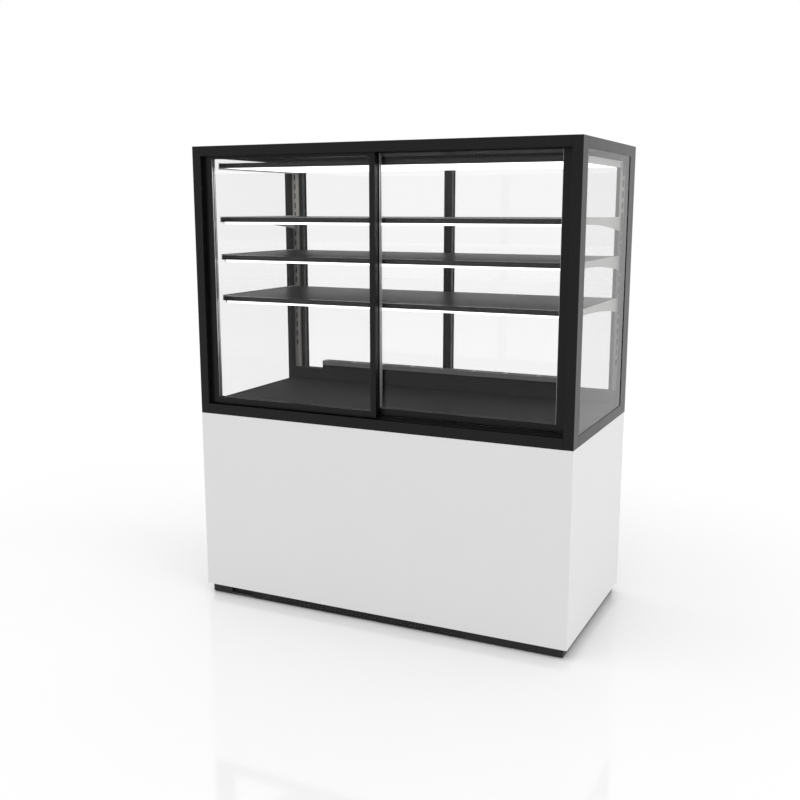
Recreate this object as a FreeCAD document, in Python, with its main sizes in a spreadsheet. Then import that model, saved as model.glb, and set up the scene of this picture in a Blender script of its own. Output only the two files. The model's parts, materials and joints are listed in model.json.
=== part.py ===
import FreeCAD, Part
import os
import re
import Sketcher
from math import ceil, pi

# Counter-front refrigerated bakery display case, millimetres.
# Frame: origin on the floor under the middle of the case, +X to the customer's
# right, +Y to the rear, +Z up.  The white base stands on four levelling feet
# behind a black plinth; the glazed cabin above it has two sliding front doors.

DRIVING = {
    # whole case
    "case_width": 1200,
    "case_depth": 585,
    "case_height": 1410,
    "skirt_height": 30,
    "base_height": 596,
    "base_rear_inset": 5,
    # folded sheet metal of the base
    "panel_sheet": 1.5,
    "flange": 18,
    "pan_sheet": 2,
    "pan_rim": 20,
    "tube_size": 25,
    "tube_wall": 2,
    "plinth_inset": 14,
    "plinth_setback": 12,
    "plinth_gap": 3,
    # glazed frame
    "sill_rise": 31.5,
    "head_drop": 29,
    "post_width": 28.5,
    "post_depth": 50,
    "post_lip": 7,
    "post_wall": 3,
    "track_depth": 64.5,
    "side_wall": 14,
    "side_border": 31,
    "rear_stile_width": 65,
    "rear_wall": 28,
    "rear_stile": 34,
    "rear_border": 30,
    "mullion": 28,
    "roof_sheet": 14,
    "fit_gap": 0.3,
    # glazing
    "side_pane": 3.4,
    "side_pane_inset": 1.8,
    "side_pane_space": 3.2,
    "glass_bite": 8,
    "door_pane": 4,
    # doors
    "outer_setback": 16.5,
    "inner_setback": 41.5,
    "door_thick": 18,
    "closing_stile": 27,
    "meeting_stile": 18,
    "meeting_lap": 6,
    "door_bottom_rail": 20,
    "door_top_rail": 21,
    "door_rise": 765.5,
    "outer_floor": 30,
    "inner_floor": 36.5,
    "door_lift": 2.5,
    "track_lip": 3,
    "track_slot": 6,
    "slot_sink": 3,
    "head_slot": 22,
    "roller_radius": 7,
    "roller_width": 5,
    "roller_inset": 60,
    "axle_radius": 1.5,
    "wheel_clearance": 0.3,
    # shelves, each level is the underside of its front bar
    "canopy_level": 1348.7,
    "level_one": 1186.5,
    "level_two": 1070.6,
    "level_three": 943.5,
    "bar_rise": 14,
    "bar_depth": 16,
    "bar_round": 5,
    "bar_half": 562,
    "bar_setback": 82.5,
    "plate_half": 566,
    "diffuser_half": 554,
    "plate_thick": 8,
    "plate_rear": 246,
    "light_rise": 6,
    "light_depth": 10,
    "light_half": 550,
    # brackets and uprights
    "upright_width": 20,
    "upright_depth": 12,
    "upright_wall": 1.5,
    "upright_top": 1378,
    "slot_pitch": 32,
    "slot_rise": 19,
    "slot_width": 5,
    "slot_top_centre": 1364.7,
    "slot_count": 20,
    "bracket_sheet": 3,
    "bracket_over": 2,
    "bracket_nose": 17.5,
    "bracket_root": 46,
    "canopy_web": 19,
    "bracket_ledge": 20.5,
    # deck and air duct
    "deck_top": 629,
    "deck_thick": 2,
    "ledge_rise": 40,
    "ledge_depth": 35,
    "duct_half": 460,
    "duct_rise": 55,
    "grille_rise": 15,
    "insulation_wall": 38,
    "insulation_floor": 430,
}

V = FreeCAD.Vector
LEFT = "-case_width / 2"
RIGHT = "case_width / 2"
FRONT = "-case_depth / 2"
REAR = "case_depth / 2"
CABLE_ENTRY = ("480", "75")
LEVELS = {"shelf_1": "level_one", "shelf_2": "level_two", "shelf_3": "level_three"}

doc = FreeCAD.newDocument("display_case")
sheet = doc.addObject("Spreadsheet::Sheet", "Dimensions")
for row, (alias, amount) in enumerate(DRIVING.items(), start=1):
    sheet.set(f"A{row}", alias)
    sheet.set(f"B{row}", str(amount))
    sheet.setAlias(f"B{row}", alias)
doc.recompute()

ALIAS = re.compile(r"\b(" + "|".join(sorted(DRIVING, key=len, reverse=True)) + r")\b")
SUBPARTS = []


def full(text):
    """An expression in sheet aliases, spelt the way other objects must spell it."""
    return ALIAS.sub(r"Dimensions.\1", str(text))


def amount_of(text):
    """The number an expression stands for now."""
    return float(sheet.evalExpression(full(text)))


def bind(item, prop, text):
    item.setExpression(prop, full(text))


def subpart(item):
    """Mark an object as a finished piece; its label is the node's name."""
    item.Label = item.Name
    SUBPARTS.append(item)
    return item


# ---------------------------------------------------------------- primitives

def block(name, across, along, upward):
    """A box between two planes on each axis, given as pairs of expressions."""
    item = doc.addObject("Part::Box", name)
    spans = zip(("Length", "Width", "Height"), "xyz", (across, along, upward))
    for prop, axis, (low, high) in spans:
        bind(item, prop, f"({high}) - ({low})")
        bind(item, f"Placement.Base.{axis}", low)
    return item


def rod(name, axis, radius, centre, span):
    """A cylinder along one axis; centre gives the other two coordinates in order."""
    item = doc.addObject("Part::Cylinder", name)
    turn = {"x": (V(0, 1, 0), 90), "y": (V(1, 0, 0), -90), "z": (V(0, 0, 1), 0)}[axis]
    item.Placement = FreeCAD.Placement(V(0, 0, 0), FreeCAD.Rotation(*turn))
    bind(item, "Radius", radius)
    bind(item, "Height", f"({span[1]}) - ({span[0]})")
    places = dict(zip([a for a in "xyz" if a != axis], centre))
    places[axis] = span[0]
    for letter, text in places.items():
        bind(item, f"Placement.Base.{letter}", text)
    return item


def join(name, pieces):
    item = doc.addObject("Part::MultiFuse", name)
    item.Shapes = pieces
    item.Refine = True
    return item


def group(name, pieces):
    """Separate solids that share one node."""
    item = doc.addObject("Part::Compound", name)
    item.Links = pieces
    return item


def carve(name, base, tools):
    item = doc.addObject("Part::Cut", name)
    item.Base = base
    item.Tool = tools[0] if len(tools) == 1 else join(f"{name}_cutter", tools)
    return item


def tube(name, across, along, upward, axis):
    """A square steel tube, open at both ends along axis."""
    spans = {"x": across, "y": along, "z": upward}
    inner = {key: (f"{low} + tube_wall", f"{high} - tube_wall") for key, (low, high) in spans.items()}
    inner[axis] = (f"{spans[axis][0]} - 1", f"{spans[axis][1]} + 1")
    outer = block(f"{name}_outer", across, along, upward)
    hollow = block(f"{name}_hollow", inner["x"], inner["y"], inner["z"])
    return carve(name, outer, [hollow])


def rounded(name, base, axis, radius):
    """Round every straight edge of base that runs along axis."""
    doc.recompute()
    along = {"x": V(1, 0, 0), "y": V(0, 1, 0), "z": V(0, 0, 1)}[axis]
    picked = []
    for number, edge in enumerate(base.Shape.Edges, start=1):
        run = edge.Vertexes[-1].Point - edge.Vertexes[0].Point
        if run.cross(along).Length < 1e-6:
            picked.append((number, amount_of(radius), amount_of(radius)))
    item = doc.addObject("Part::Fillet", name)
    item.Base = base
    item.Edges = picked
    return item


# ------------------------------------------------------------------ sketches

def new_body(name):
    return doc.addObject("PartDesign::Body", name)


def new_sketch(body, name, role, offset="0"):
    """A sketch on one of the body's origin planes, moved along its normal."""
    sketch = body.newObject("Sketcher::SketchObject", name)
    plane = next(item for item in body.Origin.OriginFeatures if item.Role == role)
    sketch.AttachmentSupport = (plane, [""])
    sketch.MapMode = "FlatFace"
    bind(sketch, "AttachmentOffset.Base.z", offset)
    return sketch


def fix(sketch, geometry, kind, text, vertex=1):
    """Dimension one vertex from the sketch origin by an expression."""
    amount = amount_of(text)
    index = sketch.addConstraint(Sketcher.Constraint(kind, -1, 1, geometry, vertex, amount))
    sketch.setExpression(f"Constraints[{index}]", full(text))


def outline(sketch, corners, bulge=None):
    """Close a polygon through corners; bulge maps a side's number to its mid point, as an arc."""
    bulge = bulge or {}
    points = [V(amount_of(x), amount_of(y), 0) for x, y in corners]
    first = sketch.GeometryCount
    count = len(points)
    ends = {}
    arcs = []
    for side in range(count):
        start, stop = points[side], points[(side + 1) % count]
        if side in bulge:
            middle = V(amount_of(bulge[side][0]), amount_of(bulge[side][1]), 0)
            sketch.addGeometry(Part.Arc(start, middle, stop))
            clockwise = (middle - start).cross(stop - start).z < 0
            ends[side] = (2, 1) if clockwise else (1, 2)
            arcs.append((first + side, bulge[side]))
        else:
            sketch.addGeometry(Part.LineSegment(start, stop))
            ends[side] = (1, 2)
    for side in range(count):
        after = (side + 1) % count
        link = (first + side, ends[side][1], first + after, ends[after][0])
        sketch.addConstraint(Sketcher.Constraint("Coincident", *link))
    for side, (x, y) in enumerate(corners):
        fix(sketch, first + side, "DistanceX", x, ends[side][0])
        fix(sketch, first + side, "DistanceY", y, ends[side][0])
    for arc, (x, y) in arcs:
        middle = sketch.addGeometry(Part.Point(V(amount_of(x), amount_of(y), 0)), True)
        fix(sketch, middle, "DistanceX", x)
        fix(sketch, middle, "DistanceY", y)
        sketch.addConstraint(Sketcher.Constraint("PointOnObject", middle, 1, arc))


def rectangle(sketch, across, upward):
    (left, right), (low, high) = across, upward
    outline(sketch, [(left, low), (right, low), (right, high), (left, high)])


def disc(sketch, centre, radius):
    place = V(amount_of(centre[0]), amount_of(centre[1]), 0)
    number = sketch.addGeometry(Part.Circle(place, V(0, 0, 1), amount_of(radius)))
    fix(sketch, number, "DistanceX", centre[0], 3)
    fix(sketch, number, "DistanceY", centre[1], 3)
    index = sketch.addConstraint(Sketcher.Constraint("Radius", number, amount_of(radius)))
    sketch.setExpression(f"Constraints[{index}]", full(radius))


def pad(body, sketch, length, reverse=False, both_ways=False):
    feature = body.newObject("PartDesign::Pad", f"{sketch.Name}_pad")
    feature.Profile = sketch
    feature.Reversed = reverse
    feature.Midplane = both_ways
    bind(feature, "Length", length)
    sketch.Visibility = False
    doc.recompute()
    return feature


def pocket(body, sketch, length, reverse=False):
    """A pocket that must remove material; it fails loudly when it cuts nothing."""
    before = body.Shape.Volume
    feature = body.newObject("PartDesign::Pocket", f"{sketch.Name}_pocket")
    feature.Profile = sketch
    feature.Reversed = reverse
    bind(feature, "Length", length)
    doc.recompute()
    if feature.Shape.Volume > before - 1e-3:
        raise RuntimeError(f"{feature.Name} removed nothing")
    return feature


def repeat(body, features, role, pitch, count, reverse=False):
    """Repeat features along an origin axis of the body."""
    pattern = body.newObject("PartDesign::LinearPattern", f"{features[0].Name}_row")
    pattern.Originals = features
    axis = next(item for item in body.Origin.OriginFeatures if item.Role == role)
    pattern.Direction = (axis, [""])
    pattern.Reversed = reverse
    pattern.Mode = "Spacing"
    bind(pattern, "Offset", pitch)
    bind(pattern, "Occurrences", count)
    body.Tip = pattern
    doc.recompute()
    return pattern


def turned(body, name, profile, turn_axis="V_Axis", plane="XZ_Plane", offset="0"):
    """A solid of revolution of a closed half profile about the sketch's own axis."""
    sketch = new_sketch(body, name, plane, offset)
    outline(sketch, profile)
    feature = body.newObject("PartDesign::Revolution", f"{name}_turn")
    feature.Profile = sketch
    feature.ReferenceAxis = (sketch, [turn_axis])
    feature.Angle = 360
    doc.recompute()
    return feature


# ----------------------------------------------------------------- the base

def front_panel():
    """Plain white sheet with its edges folded back; the sides butt behind it."""
    body = new_body("front_panel")
    face = new_sketch(body, "front_face", "XZ_Plane", "case_depth / 2")
    rectangle(face, (LEFT, RIGHT), ("skirt_height", "base_height"))
    pad(body, face, "panel_sheet", reverse=True)
    folds = new_sketch(body, "front_folds", "XZ_Plane", "case_depth / 2")
    side = "(panel_sheet + fit_gap)"
    rectangle(folds, (f"{LEFT} + {side}", f"{RIGHT} - {side}"), ("skirt_height", "base_height"))
    rectangle(folds, (f"{LEFT} + {side} + panel_sheet", f"{RIGHT} - {side} - panel_sheet"),
              ("skirt_height + panel_sheet", "base_height - panel_sheet"))
    pad(body, folds, "flange", reverse=True)
    subpart(body)


def side_panel(node, outer, reverse):
    """White side sheet with folded edges, from the front sheet to the rear sheet."""
    body = new_body(node)
    rear = f"{REAR} - base_rear_inset - panel_sheet"
    height = ("skirt_height", "base_height")
    face = new_sketch(body, f"{node}_face", "YZ_Plane", outer)
    rectangle(face, (f"{FRONT} + panel_sheet + fit_gap", rear), height)
    pad(body, face, "panel_sheet", reverse=reverse)
    folds = new_sketch(body, f"{node}_folds", "YZ_Plane", outer)
    start = f"{FRONT} + flange + 2"
    rectangle(folds, (start, rear), height)
    rectangle(folds, (f"{start} + panel_sheet", f"{rear} - panel_sheet"),
              ("skirt_height + panel_sheet", "base_height - panel_sheet"))
    pad(body, folds, "flange + panel_sheet", reverse=reverse)
    subpart(body)


def rear_panel():
    """Service sheet at the back with three columns of hooded louvres."""
    body = new_body("rear_panel")
    plane = "-(case_depth / 2 - base_rear_inset)"
    face = new_sketch(body, "rear_face", "XZ_Plane", plane)
    rectangle(face, (f"{LEFT} + 1", f"{RIGHT} - 1"), ("skirt_height", "base_height"))
    pad(body, face, "panel_sheet - fit_gap")
    window = new_sketch(body, "switch_and_cable_holes", "XZ_Plane", plane)
    rectangle(window, ("476", "502"), ("512", "548"))
    disc(window, CABLE_ENTRY, "5")
    pocket(body, window, "4", reverse=True)
    hoods = new_sketch(body, "louvre_hoods", "XZ_Plane", plane)
    slots = new_sketch(body, "louvre_slots", "XZ_Plane", plane)
    for middle in (-330, 0, 330):
        span = (f"{middle} - 90", f"{middle} + 90")
        rectangle(hoods, span, ("110", "113"))
        rectangle(slots, span, ("104", "110"))
    hood = pad(body, hoods, "3.5", reverse=True)
    slot = pocket(body, slots, "4", reverse=True)
    repeat(body, [hood, slot], "Z_Axis", "16", "14")
    subpart(body)


def base_pan():
    """Floor of the base with an upturned rim, foot holes and the air intake."""
    body = new_body("base_pan")
    across = (f"{LEFT} + 3", f"{RIGHT} - 3")
    along = (f"{FRONT} + 22.5", f"{REAR} - 8")
    plate = new_sketch(body, "pan_plate", "XY_Plane", "skirt_height + panel_sheet")
    rectangle(plate, across, along)
    pad(body, plate, "pan_sheet")
    rim = new_sketch(body, "pan_rim_ring", "XY_Plane", "skirt_height + panel_sheet")
    rectangle(rim, across, along)
    rectangle(rim, (f"{across[0]} + pan_sheet", f"{across[1]} - pan_sheet"),
              (f"{along[0]} + pan_sheet", f"{along[1]} - pan_sheet"))
    pad(body, rim, "pan_rim")
    holes = new_sketch(body, "pan_holes", "XY_Plane", "skirt_height + panel_sheet")
    for x, y in FEET.values():
        disc(holes, (x, y), "5.5")
    rectangle(holes, ("-430", "285"), ("-262", "-236"))
    pocket(body, holes, "pan_sheet", reverse=True)
    subpart(body)


def chassis_frame():
    """Welded square tubes that carry the glazed cabin above the base."""
    edge = "case_width / 2 - 22"
    floor = "skirt_height + panel_sheet + pan_sheet"
    under = "base_height - tube_size"
    sides = {"left": (f"-({edge})", f"-({edge}) + tube_size"), "right": (f"{edge} - tube_size", edge)}
    ends = {"front": ("-268", "-268 + tube_size"), "rear": ("273 - tube_size", "273")}
    tubes = []
    for side, across in sides.items():
        for end, along in ends.items():
            tubes.append(tube(f"post_{side}_{end}", across, along, (floor, under), "z"))
        tubes.append(tube(f"rail_{side}", across, ("-268 + tube_size", "273 - tube_size"),
                          (under, "base_height"), "y"))
    for end, along in ends.items():
        tubes.append(tube(f"rail_{end}", (f"-({edge})", edge), along, (under, "base_height"), "x"))
    subpart(join("chassis_frame", tubes))


def plinth():
    """Black recessed skirt with an open stretch, and the perforated intake behind it."""
    half = "case_width / 2 - plinth_inset"
    front = f"{FRONT} + plinth_setback"
    rear = f"{REAR} - 12"
    body = new_body("plinth_skirt")
    ring = new_sketch(body, "skirt_ring", "XY_Plane", "plinth_gap")
    rectangle(ring, (f"-({half})", half), (front, rear))
    rectangle(ring, (f"-({half}) + panel_sheet", f"{half} - panel_sheet"),
              (f"{front} + panel_sheet", f"{rear} - panel_sheet"))
    pad(body, ring, "skirt_height - plinth_gap")
    mouth = new_sketch(body, "skirt_mouth", "XZ_Plane", "case_depth / 2")
    rectangle(mouth, ("-514", "292"), ("plinth_gap + 3", "skirt_height - 2"))
    pocket(body, mouth, "plinth_setback + 5")
    subpart(body)
    mesh = new_body("plinth_grille")
    sheet_front = "case_depth / 2 - plinth_setback - panel_sheet"
    plate = new_sketch(mesh, "mesh_plate", "XZ_Plane", sheet_front)
    rectangle(plate, ("-438", "297"), ("plinth_gap", "skirt_height"))
    pad(mesh, plate, "1.2", reverse=True)
    hole = new_sketch(mesh, "mesh_slot", "XZ_Plane", sheet_front)
    rectangle(hole, ("-431", "-427"), ("plinth_gap + 5", "skirt_height - 4"))
    first = pocket(mesh, hole, "3")
    repeat(mesh, [first], "X_Axis", "9", "80")
    subpart(mesh)


FEET = {
    "front_left_foot": ("-565.5", "-255.5"),
    "front_right_foot": ("565.5", "-255.5"),
    "rear_left_foot": ("-565.5", "260.5"),
    "rear_right_foot": ("565.5", "260.5"),
}


def foot(node, centre):
    """Levelling foot: moulded pad, collar and stem in one turned profile; it turns in its thread."""
    body = new_body(node)
    profile = [("0.01", "0.01"), ("16", "0.01"), ("17", "2"), ("17", "7"), ("12", "11"),
               ("9", "12"), ("9", "22"), ("5", "22.5"), ("5", "70"), ("0.01", "70")]
    turned(body, f"{node}_profile", profile)
    bind(body, "Placement.Base.x", centre[0])
    bind(body, "Placement.Base.y", centre[1])
    subpart(body)


# -------------------------------------------------------- refrigeration unit

def compressor():
    """Hermetic compressor on a mounting plate with rubber grommets."""
    body = new_body("compressor_shell")
    profile = [("0.01", "54"), ("62", "54"), ("80", "66"), ("85", "92"), ("85", "176"),
               ("78", "214"), ("52", "236"), ("0.01", "244")]
    turned(body, "compressor_profile", profile)
    bind(body, "Placement.Base.x", "330")
    bind(body, "Placement.Base.y", "60")
    pieces = [body, block("compressor_plate", ("225", "435"), ("-15", "135"), ("50", "56"))]
    for x in (240, 420):
        for y in (0, 120):
            pieces.append(rod(f"grommet_{x}_{y}", "z", "11", (str(x), str(y)), ("33.5", "50")))
    pieces.append(block("terminal_cover", ("408", "428"), ("35", "85"), ("120", "170")))
    subpart(join("compressor", pieces))


def finned_coil(node, across, along, upward, fins):
    """Tube-and-fin block between two end plates."""
    plate = "2"
    (left, right), (low, high) = across, upward
    pieces = [
        block(f"{node}_plate_a", (left, f"{left} + {plate}"), along, upward),
        block(f"{node}_plate_b", (f"{right} - {plate}", right), along, upward),
    ]
    middle = f"(({along[0]}) + ({along[1]})) / 2"
    rows = 5
    for row in range(rows):
        level = f"({low}) + (({high}) - ({low})) * {(row + 0.5) / rows}"
        pieces.append(rod(f"{node}_tube_{row}", "x", "5", (middle, level), (left, right)))
    for fin in range(1, fins):
        place = f"({left}) + (({right}) - ({left})) * {fin / fins}"
        span = (f"{place} - 0.6", f"{place} + 0.6")
        pieces.append(block(f"{node}_fin_{fin}", span, (f"{along[0]} + 2", f"{along[1]} - 2"),
                            (f"{low} + 3", f"{high} - 3")))
    subpart(join(node, pieces))


def condenser_fan_shroud():
    """Square shroud with a round throat, three arms and the fan motor."""
    centre = ("-280", "190")
    plate = block("shroud_plate", ("-430", "-130"), ("-183", "-181"), ("50", "330"))
    wall = rod("shroud_wall", "y", "128", centre, ("-183", "-141"))
    throat = rod("shroud_throat", "y", "124", centre, ("-190", "-130"))
    collar = carve("shroud_collar", join("shroud_solid", [plate, wall]), [throat])
    pieces = [collar, rod("fan_motor", "y", "34", centre, ("-137", "-86"))]
    pieces.append(rod("motor_shaft", "y", "4", centre, ("-165", "-137")))
    pieces.append(block("arm_level", ("-430", "-130"), ("-141", "-136"), ("184", "196")))
    pieces.append(block("arm_upright", ("-286", "-274"), ("-141", "-136"), ("50", "330")))
    for x in (-430, -142):
        pieces.append(block(f"arm_foot_{abs(x)}", (str(x), str(x + 12)), ("-183", "-136"), ("184", "196")))
    subpart(join("condenser_fan_shroud", pieces))


def axial_fan(node, centre, rear, radius, hub, bore):
    """Fan rotor: bored hub with five pitched blades, turning about Y."""
    body = new_body(node)
    disc_sketch = new_sketch(body, f"{node}_hub", "XZ_Plane")
    disc(disc_sketch, ("0.001", "0.001"), hub)
    pad(body, disc_sketch, "20")
    blade = new_sketch(body, f"{node}_blade", "YZ_Plane", f"{hub} - 3")
    outline(blade, [("-18", "-16"), ("-16", "-17.5"), ("-1.5", "15"), ("-3.5", "16.5")])
    vane = pad(body, blade, f"{radius} - ({hub}) + 3")
    wheel = body.newObject("PartDesign::PolarPattern", f"{node}_vanes")
    wheel.Originals = [vane]
    axis = next(item for item in body.Origin.OriginFeatures if item.Role == "Y_Axis")
    wheel.Axis = (axis, [""])
    wheel.Angle = 360
    wheel.Occurrences = 5
    body.Tip = wheel
    doc.recompute()
    hole = new_sketch(body, f"{node}_bore", "XZ_Plane", "30")
    disc(hole, ("0.001", "0.001"), bore)
    pocket(body, hole, "60")
    bind(body, "Placement.Base.x", centre[0])
    bind(body, "Placement.Base.y", rear)
    bind(body, "Placement.Base.z", centre[1])
    subpart(body)


def evaporator_fan_housing():
    """Plate and ring that hold the circulation fan and its motor behind the evaporator."""
    centre = ("0", "534")
    plate = block("housing_plate", ("-75", "75"), ("135", "137"), ("472", "600"))
    wall = rod("housing_wall", "y", "58", centre, ("135", "163"))
    throat = rod("housing_throat", "y", "55", centre, ("130", "170"))
    collar = carve("housing_collar", join("housing_solid", [plate, wall]), [throat])
    pieces = [collar, rod("housing_motor", "y", "18", centre, ("167", "195"))]
    pieces.append(rod("housing_shaft", "y", "3", centre, ("142", "167")))
    pieces.append(block("housing_arm", ("-58", "58"), ("163", "168"), ("529", "539")))
    subpart(join("evaporator_fan_housing", pieces))


def piped(corners, radius, bend):
    """A round pipe along straight runs joined by tangent arcs."""
    points = [V(*corner) for corner in corners]
    edges = []
    start = points[0]
    for before, corner, after in zip(points, points[1:], points[2:]):
        back = (before - corner).normalize()
        forth = (after - corner).normalize()
        reach = bend / V(back).getAngle(forth) * pi / 2
        enter = corner + back * reach
        leave = corner + forth * reach
        middle_way = (back + forth).normalize()
        centre = corner + (back + forth) * reach
        edges.append(Part.LineSegment(start, enter).toShape())
        edges.append(Part.Arc(enter, centre - middle_way * bend, leave).toShape())
        start = leave
    edges.append(Part.LineSegment(start, points[-1]).toShape())
    path = Part.Wire(edges)
    first_run = (points[1] - points[0]).normalize()
    ring = Part.Wire(Part.Circle(points[0], first_run, radius).toShape())
    return path.makePipeShell([ring], True, False)


def refrigerant_pipes():
    """Copper discharge and suction lines, bent at right angles."""
    discharge = piped([(246, 60, 190), (130, 60, 190), (130, 60, 300), (130, -205, 300),
                       (-130, -205, 300)], 4, 22)
    suction = piped([(330, 60, 244), (330, 60, 536), (300, 60, 536)], 6, 20)
    item = doc.addObject("Part::Feature", "refrigerant_pipes")
    item.Shape = Part.makeCompound([discharge, suction])
    item.Placement = FreeCAD.Placement(V(0, 0, 0), FreeCAD.Rotation())
    subpart(item)


# ------------------------------------------------------------ rear controls

def control_panel():
    """Moulded bezel on the rear panel with a blank display window and a rocker opening."""
    face = f"{REAR} - base_rear_inset"
    shell = block("control_shell", ("370", "530"), (f"{face}", f"{face} + 4"), ("500", "560"))
    window = block("control_window", ("385", "440"), (f"{face} + 3", f"{face} + 5"), ("515", "545"))
    opening = block("switch_opening", ("478", "500"), (f"{face} - 1", f"{face} + 5"), ("514", "546"))
    subpart(carve("control_panel", shell, [window, opening]))


def light_switch():
    """Rocker that turns on a horizontal pin through the middle of its opening."""
    face = f"{REAR} - base_rear_inset"
    body = new_body("rocker")
    side = new_sketch(body, "rocker_side", "YZ_Plane", "489")
    outline(side, [(f"{face} + 0.5", "515"), (f"{face} + 5", "515.5"), (f"{face} + 3.2", "530"),
                   (f"{face} + 4.2", "544.5"), (f"{face} + 0.5", "545")])
    pad(body, side, "20", both_ways=True)
    pin = rod("rocker_pin", "x", "1.4", (f"{face} + 1.5", "530"), ("478.2", "499.8"))
    subpart(join("light_switch", [body, pin]))


def cable_gland():
    """Inlet for the supply cable: flange and cap on the rear panel, bored through."""
    face = f"{REAR} - base_rear_inset"
    pieces = [rod("gland_flange", "y", "13", CABLE_ENTRY, (face, f"{face} + 1.2")),
              rod("gland_cap", "y", "9.5", CABLE_ENTRY, (f"{face} + 1.2", f"{face} + 4.8"))]
    solid = join("gland_solid", pieces)
    bore = rod("gland_bore", "y", "4", CABLE_ENTRY, (f"{face} - 1", f"{face} + 6"))
    subpart(carve("cable_gland", solid, [bore]))


# ------------------------------------------------------------- glazed frame

def front_post(node, sign):
    """Front corner post: square outer part and the inner lip the doors close against."""
    inner = "case_width / 2 - post_width"
    behind = f"{FRONT} + post_depth"
    back = f"{FRONT} + track_depth"
    step = f"{FRONT} + inner_setback - 5"
    lip = "case_width / 2 - side_wall - fit_gap"
    section = [(inner, FRONT), (RIGHT, FRONT), (RIGHT, behind), (lip, behind), (lip, back),
               (f"{inner} - post_lip", back), (f"{inner} - post_lip", step), (inner, step)]
    body = new_body(node)
    sketch = new_sketch(body, f"{node}_section", "XY_Plane", "base_height")
    outline(sketch, [(f"{sign} * ({x})", y) for x, y in section])
    rectangle(sketch, (f"{sign} * ({inner} + post_wall)", f"{sign} * ({RIGHT} - post_wall)"),
              (f"{FRONT} + post_wall", f"{behind} - post_wall"))
    pad(body, sketch, "case_height - base_height")
    subpart(body)


def front_sill():
    """Bottom member of the front: thin lip, outer track and the raised inner track."""
    top = "base_height + sill_rise"
    outer = "base_height + outer_floor"
    inner = "base_height + inner_floor"
    back = f"{FRONT} + track_depth"
    lip = f"{FRONT} + track_lip"
    step = f"{FRONT} + inner_setback - 3.5"
    outer_mid = f"{FRONT} + outer_setback + door_thick / 2"
    inner_mid = f"{FRONT} + inner_setback + door_thick / 2"
    section = [(FRONT, "base_height"), (back, "base_height"), (back, inner),
               (f"{inner_mid} + track_slot / 2", inner),
               (f"{inner_mid} + track_slot / 2", f"{inner} - slot_sink"),
               (f"{inner_mid} - track_slot / 2", f"{inner} - slot_sink"),
               (f"{inner_mid} - track_slot / 2", inner), (step, inner), (step, outer),
               (f"{outer_mid} + track_slot / 2", outer),
               (f"{outer_mid} + track_slot / 2", f"{outer} - slot_sink"),
               (f"{outer_mid} - track_slot / 2", f"{outer} - slot_sink"),
               (f"{outer_mid} - track_slot / 2", outer), (lip, outer), (lip, top), (FRONT, top)]
    body = new_body("front_sill")
    sketch = new_sketch(body, "sill_section", "YZ_Plane")
    outline(sketch, section)
    chamber = ((f"{FRONT} + post_wall", f"{back} - post_wall"),
               ("base_height + post_wall", f"{outer} - slot_sink - post_wall"))
    rectangle(sketch, *chamber)
    pad(body, sketch, "case_width - 2 * post_width - 2 * post_lip - 2 * fit_gap", both_ways=True)
    ends = new_sketch(body, "sill_nose", "YZ_Plane")
    outline(ends, [(FRONT, "base_height"), (f"{step} - 3", "base_height"), (f"{step} - 3", outer),
                   (f"{outer_mid} + track_slot / 2", outer),
                   (f"{outer_mid} + track_slot / 2", f"{outer} - slot_sink"),
                   (f"{outer_mid} - track_slot / 2", f"{outer} - slot_sink"),
                   (f"{outer_mid} - track_slot / 2", outer), (lip, outer), (lip, top), (FRONT, top)])
    rectangle(ends, (chamber[0][0], f"{step} - 3 - post_wall"), chamber[1])
    pad(body, ends, "case_width - 2 * post_width - 2 * fit_gap", both_ways=True)
    subpart(body)


def front_head_rail():
    """Top member of the front with two downward channels for the tops of the doors."""
    low = "case_height - head_drop"
    back = f"{FRONT} + track_depth"
    spare = "(head_slot - door_thick) / 2"
    corners = [(FRONT, low)]
    for setback, roof in (("outer_setback", "case_height - 13"), ("inner_setback", "case_height - 6.5")):
        near = f"{FRONT} + {setback} - {spare}"
        far = f"{near} + head_slot"
        corners += [(near, low), (near, roof), (far, roof), (far, low)]
    corners += [(back, low), (back, "case_height"), (FRONT, "case_height")]
    body = new_body("front_head_rail")
    sketch = new_sketch(body, "head_section", "YZ_Plane")
    outline(sketch, corners)
    pad(body, sketch, "case_width - 2 * post_width - 2 * post_lip - 2 * fit_gap", both_ways=True)
    ends = new_sketch(body, "head_nose", "YZ_Plane")
    near = f"{FRONT} + outer_setback - {spare}"
    far = f"{FRONT} + inner_setback - 5 - fit_gap"
    outline(ends, [(FRONT, low), (near, low), (near, "case_height - 13"), (far, "case_height - 13"),
                   (far, "case_height"), (FRONT, "case_height")])
    pad(body, ends, "case_width - 2 * post_width - 2 * fit_gap", both_ways=True)
    subpart(body)


def side_frame(node, sign):
    """Black border of the side glass: top and bottom rails and the wide rear stile."""
    outer = "case_width / 2"
    across = [f"{sign} * ({outer} - side_wall)", f"{sign} * ({outer})"]
    groove = [f"{sign} * ({outer} - side_pane_inset - 2 * side_pane - side_pane_space)",
              f"{sign} * ({outer} - side_pane_inset)"]
    if sign == "-1":
        across.reverse()
        groove.reverse()
    front = f"{FRONT} + post_depth + fit_gap"
    sight = f"{REAR} - rear_stile_width"
    low = "base_height + sill_rise"
    high = "case_height - side_border"
    slab = block(f"{node}_slab", across, (front, REAR), ("base_height", "case_height"))
    hole = block(f"{node}_sight", (f"{across[0]} - 1", f"{across[1]} + 1"), (f"{front} - 1", sight),
                 (low, high))
    bed = block(f"{node}_bed", groove, (f"{front} - 1", f"{sight} + glass_bite"),
                (f"{low} - glass_bite", f"{high} + glass_bite"))
    subpart(carve(node, slab, [hole, bed]))


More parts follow.
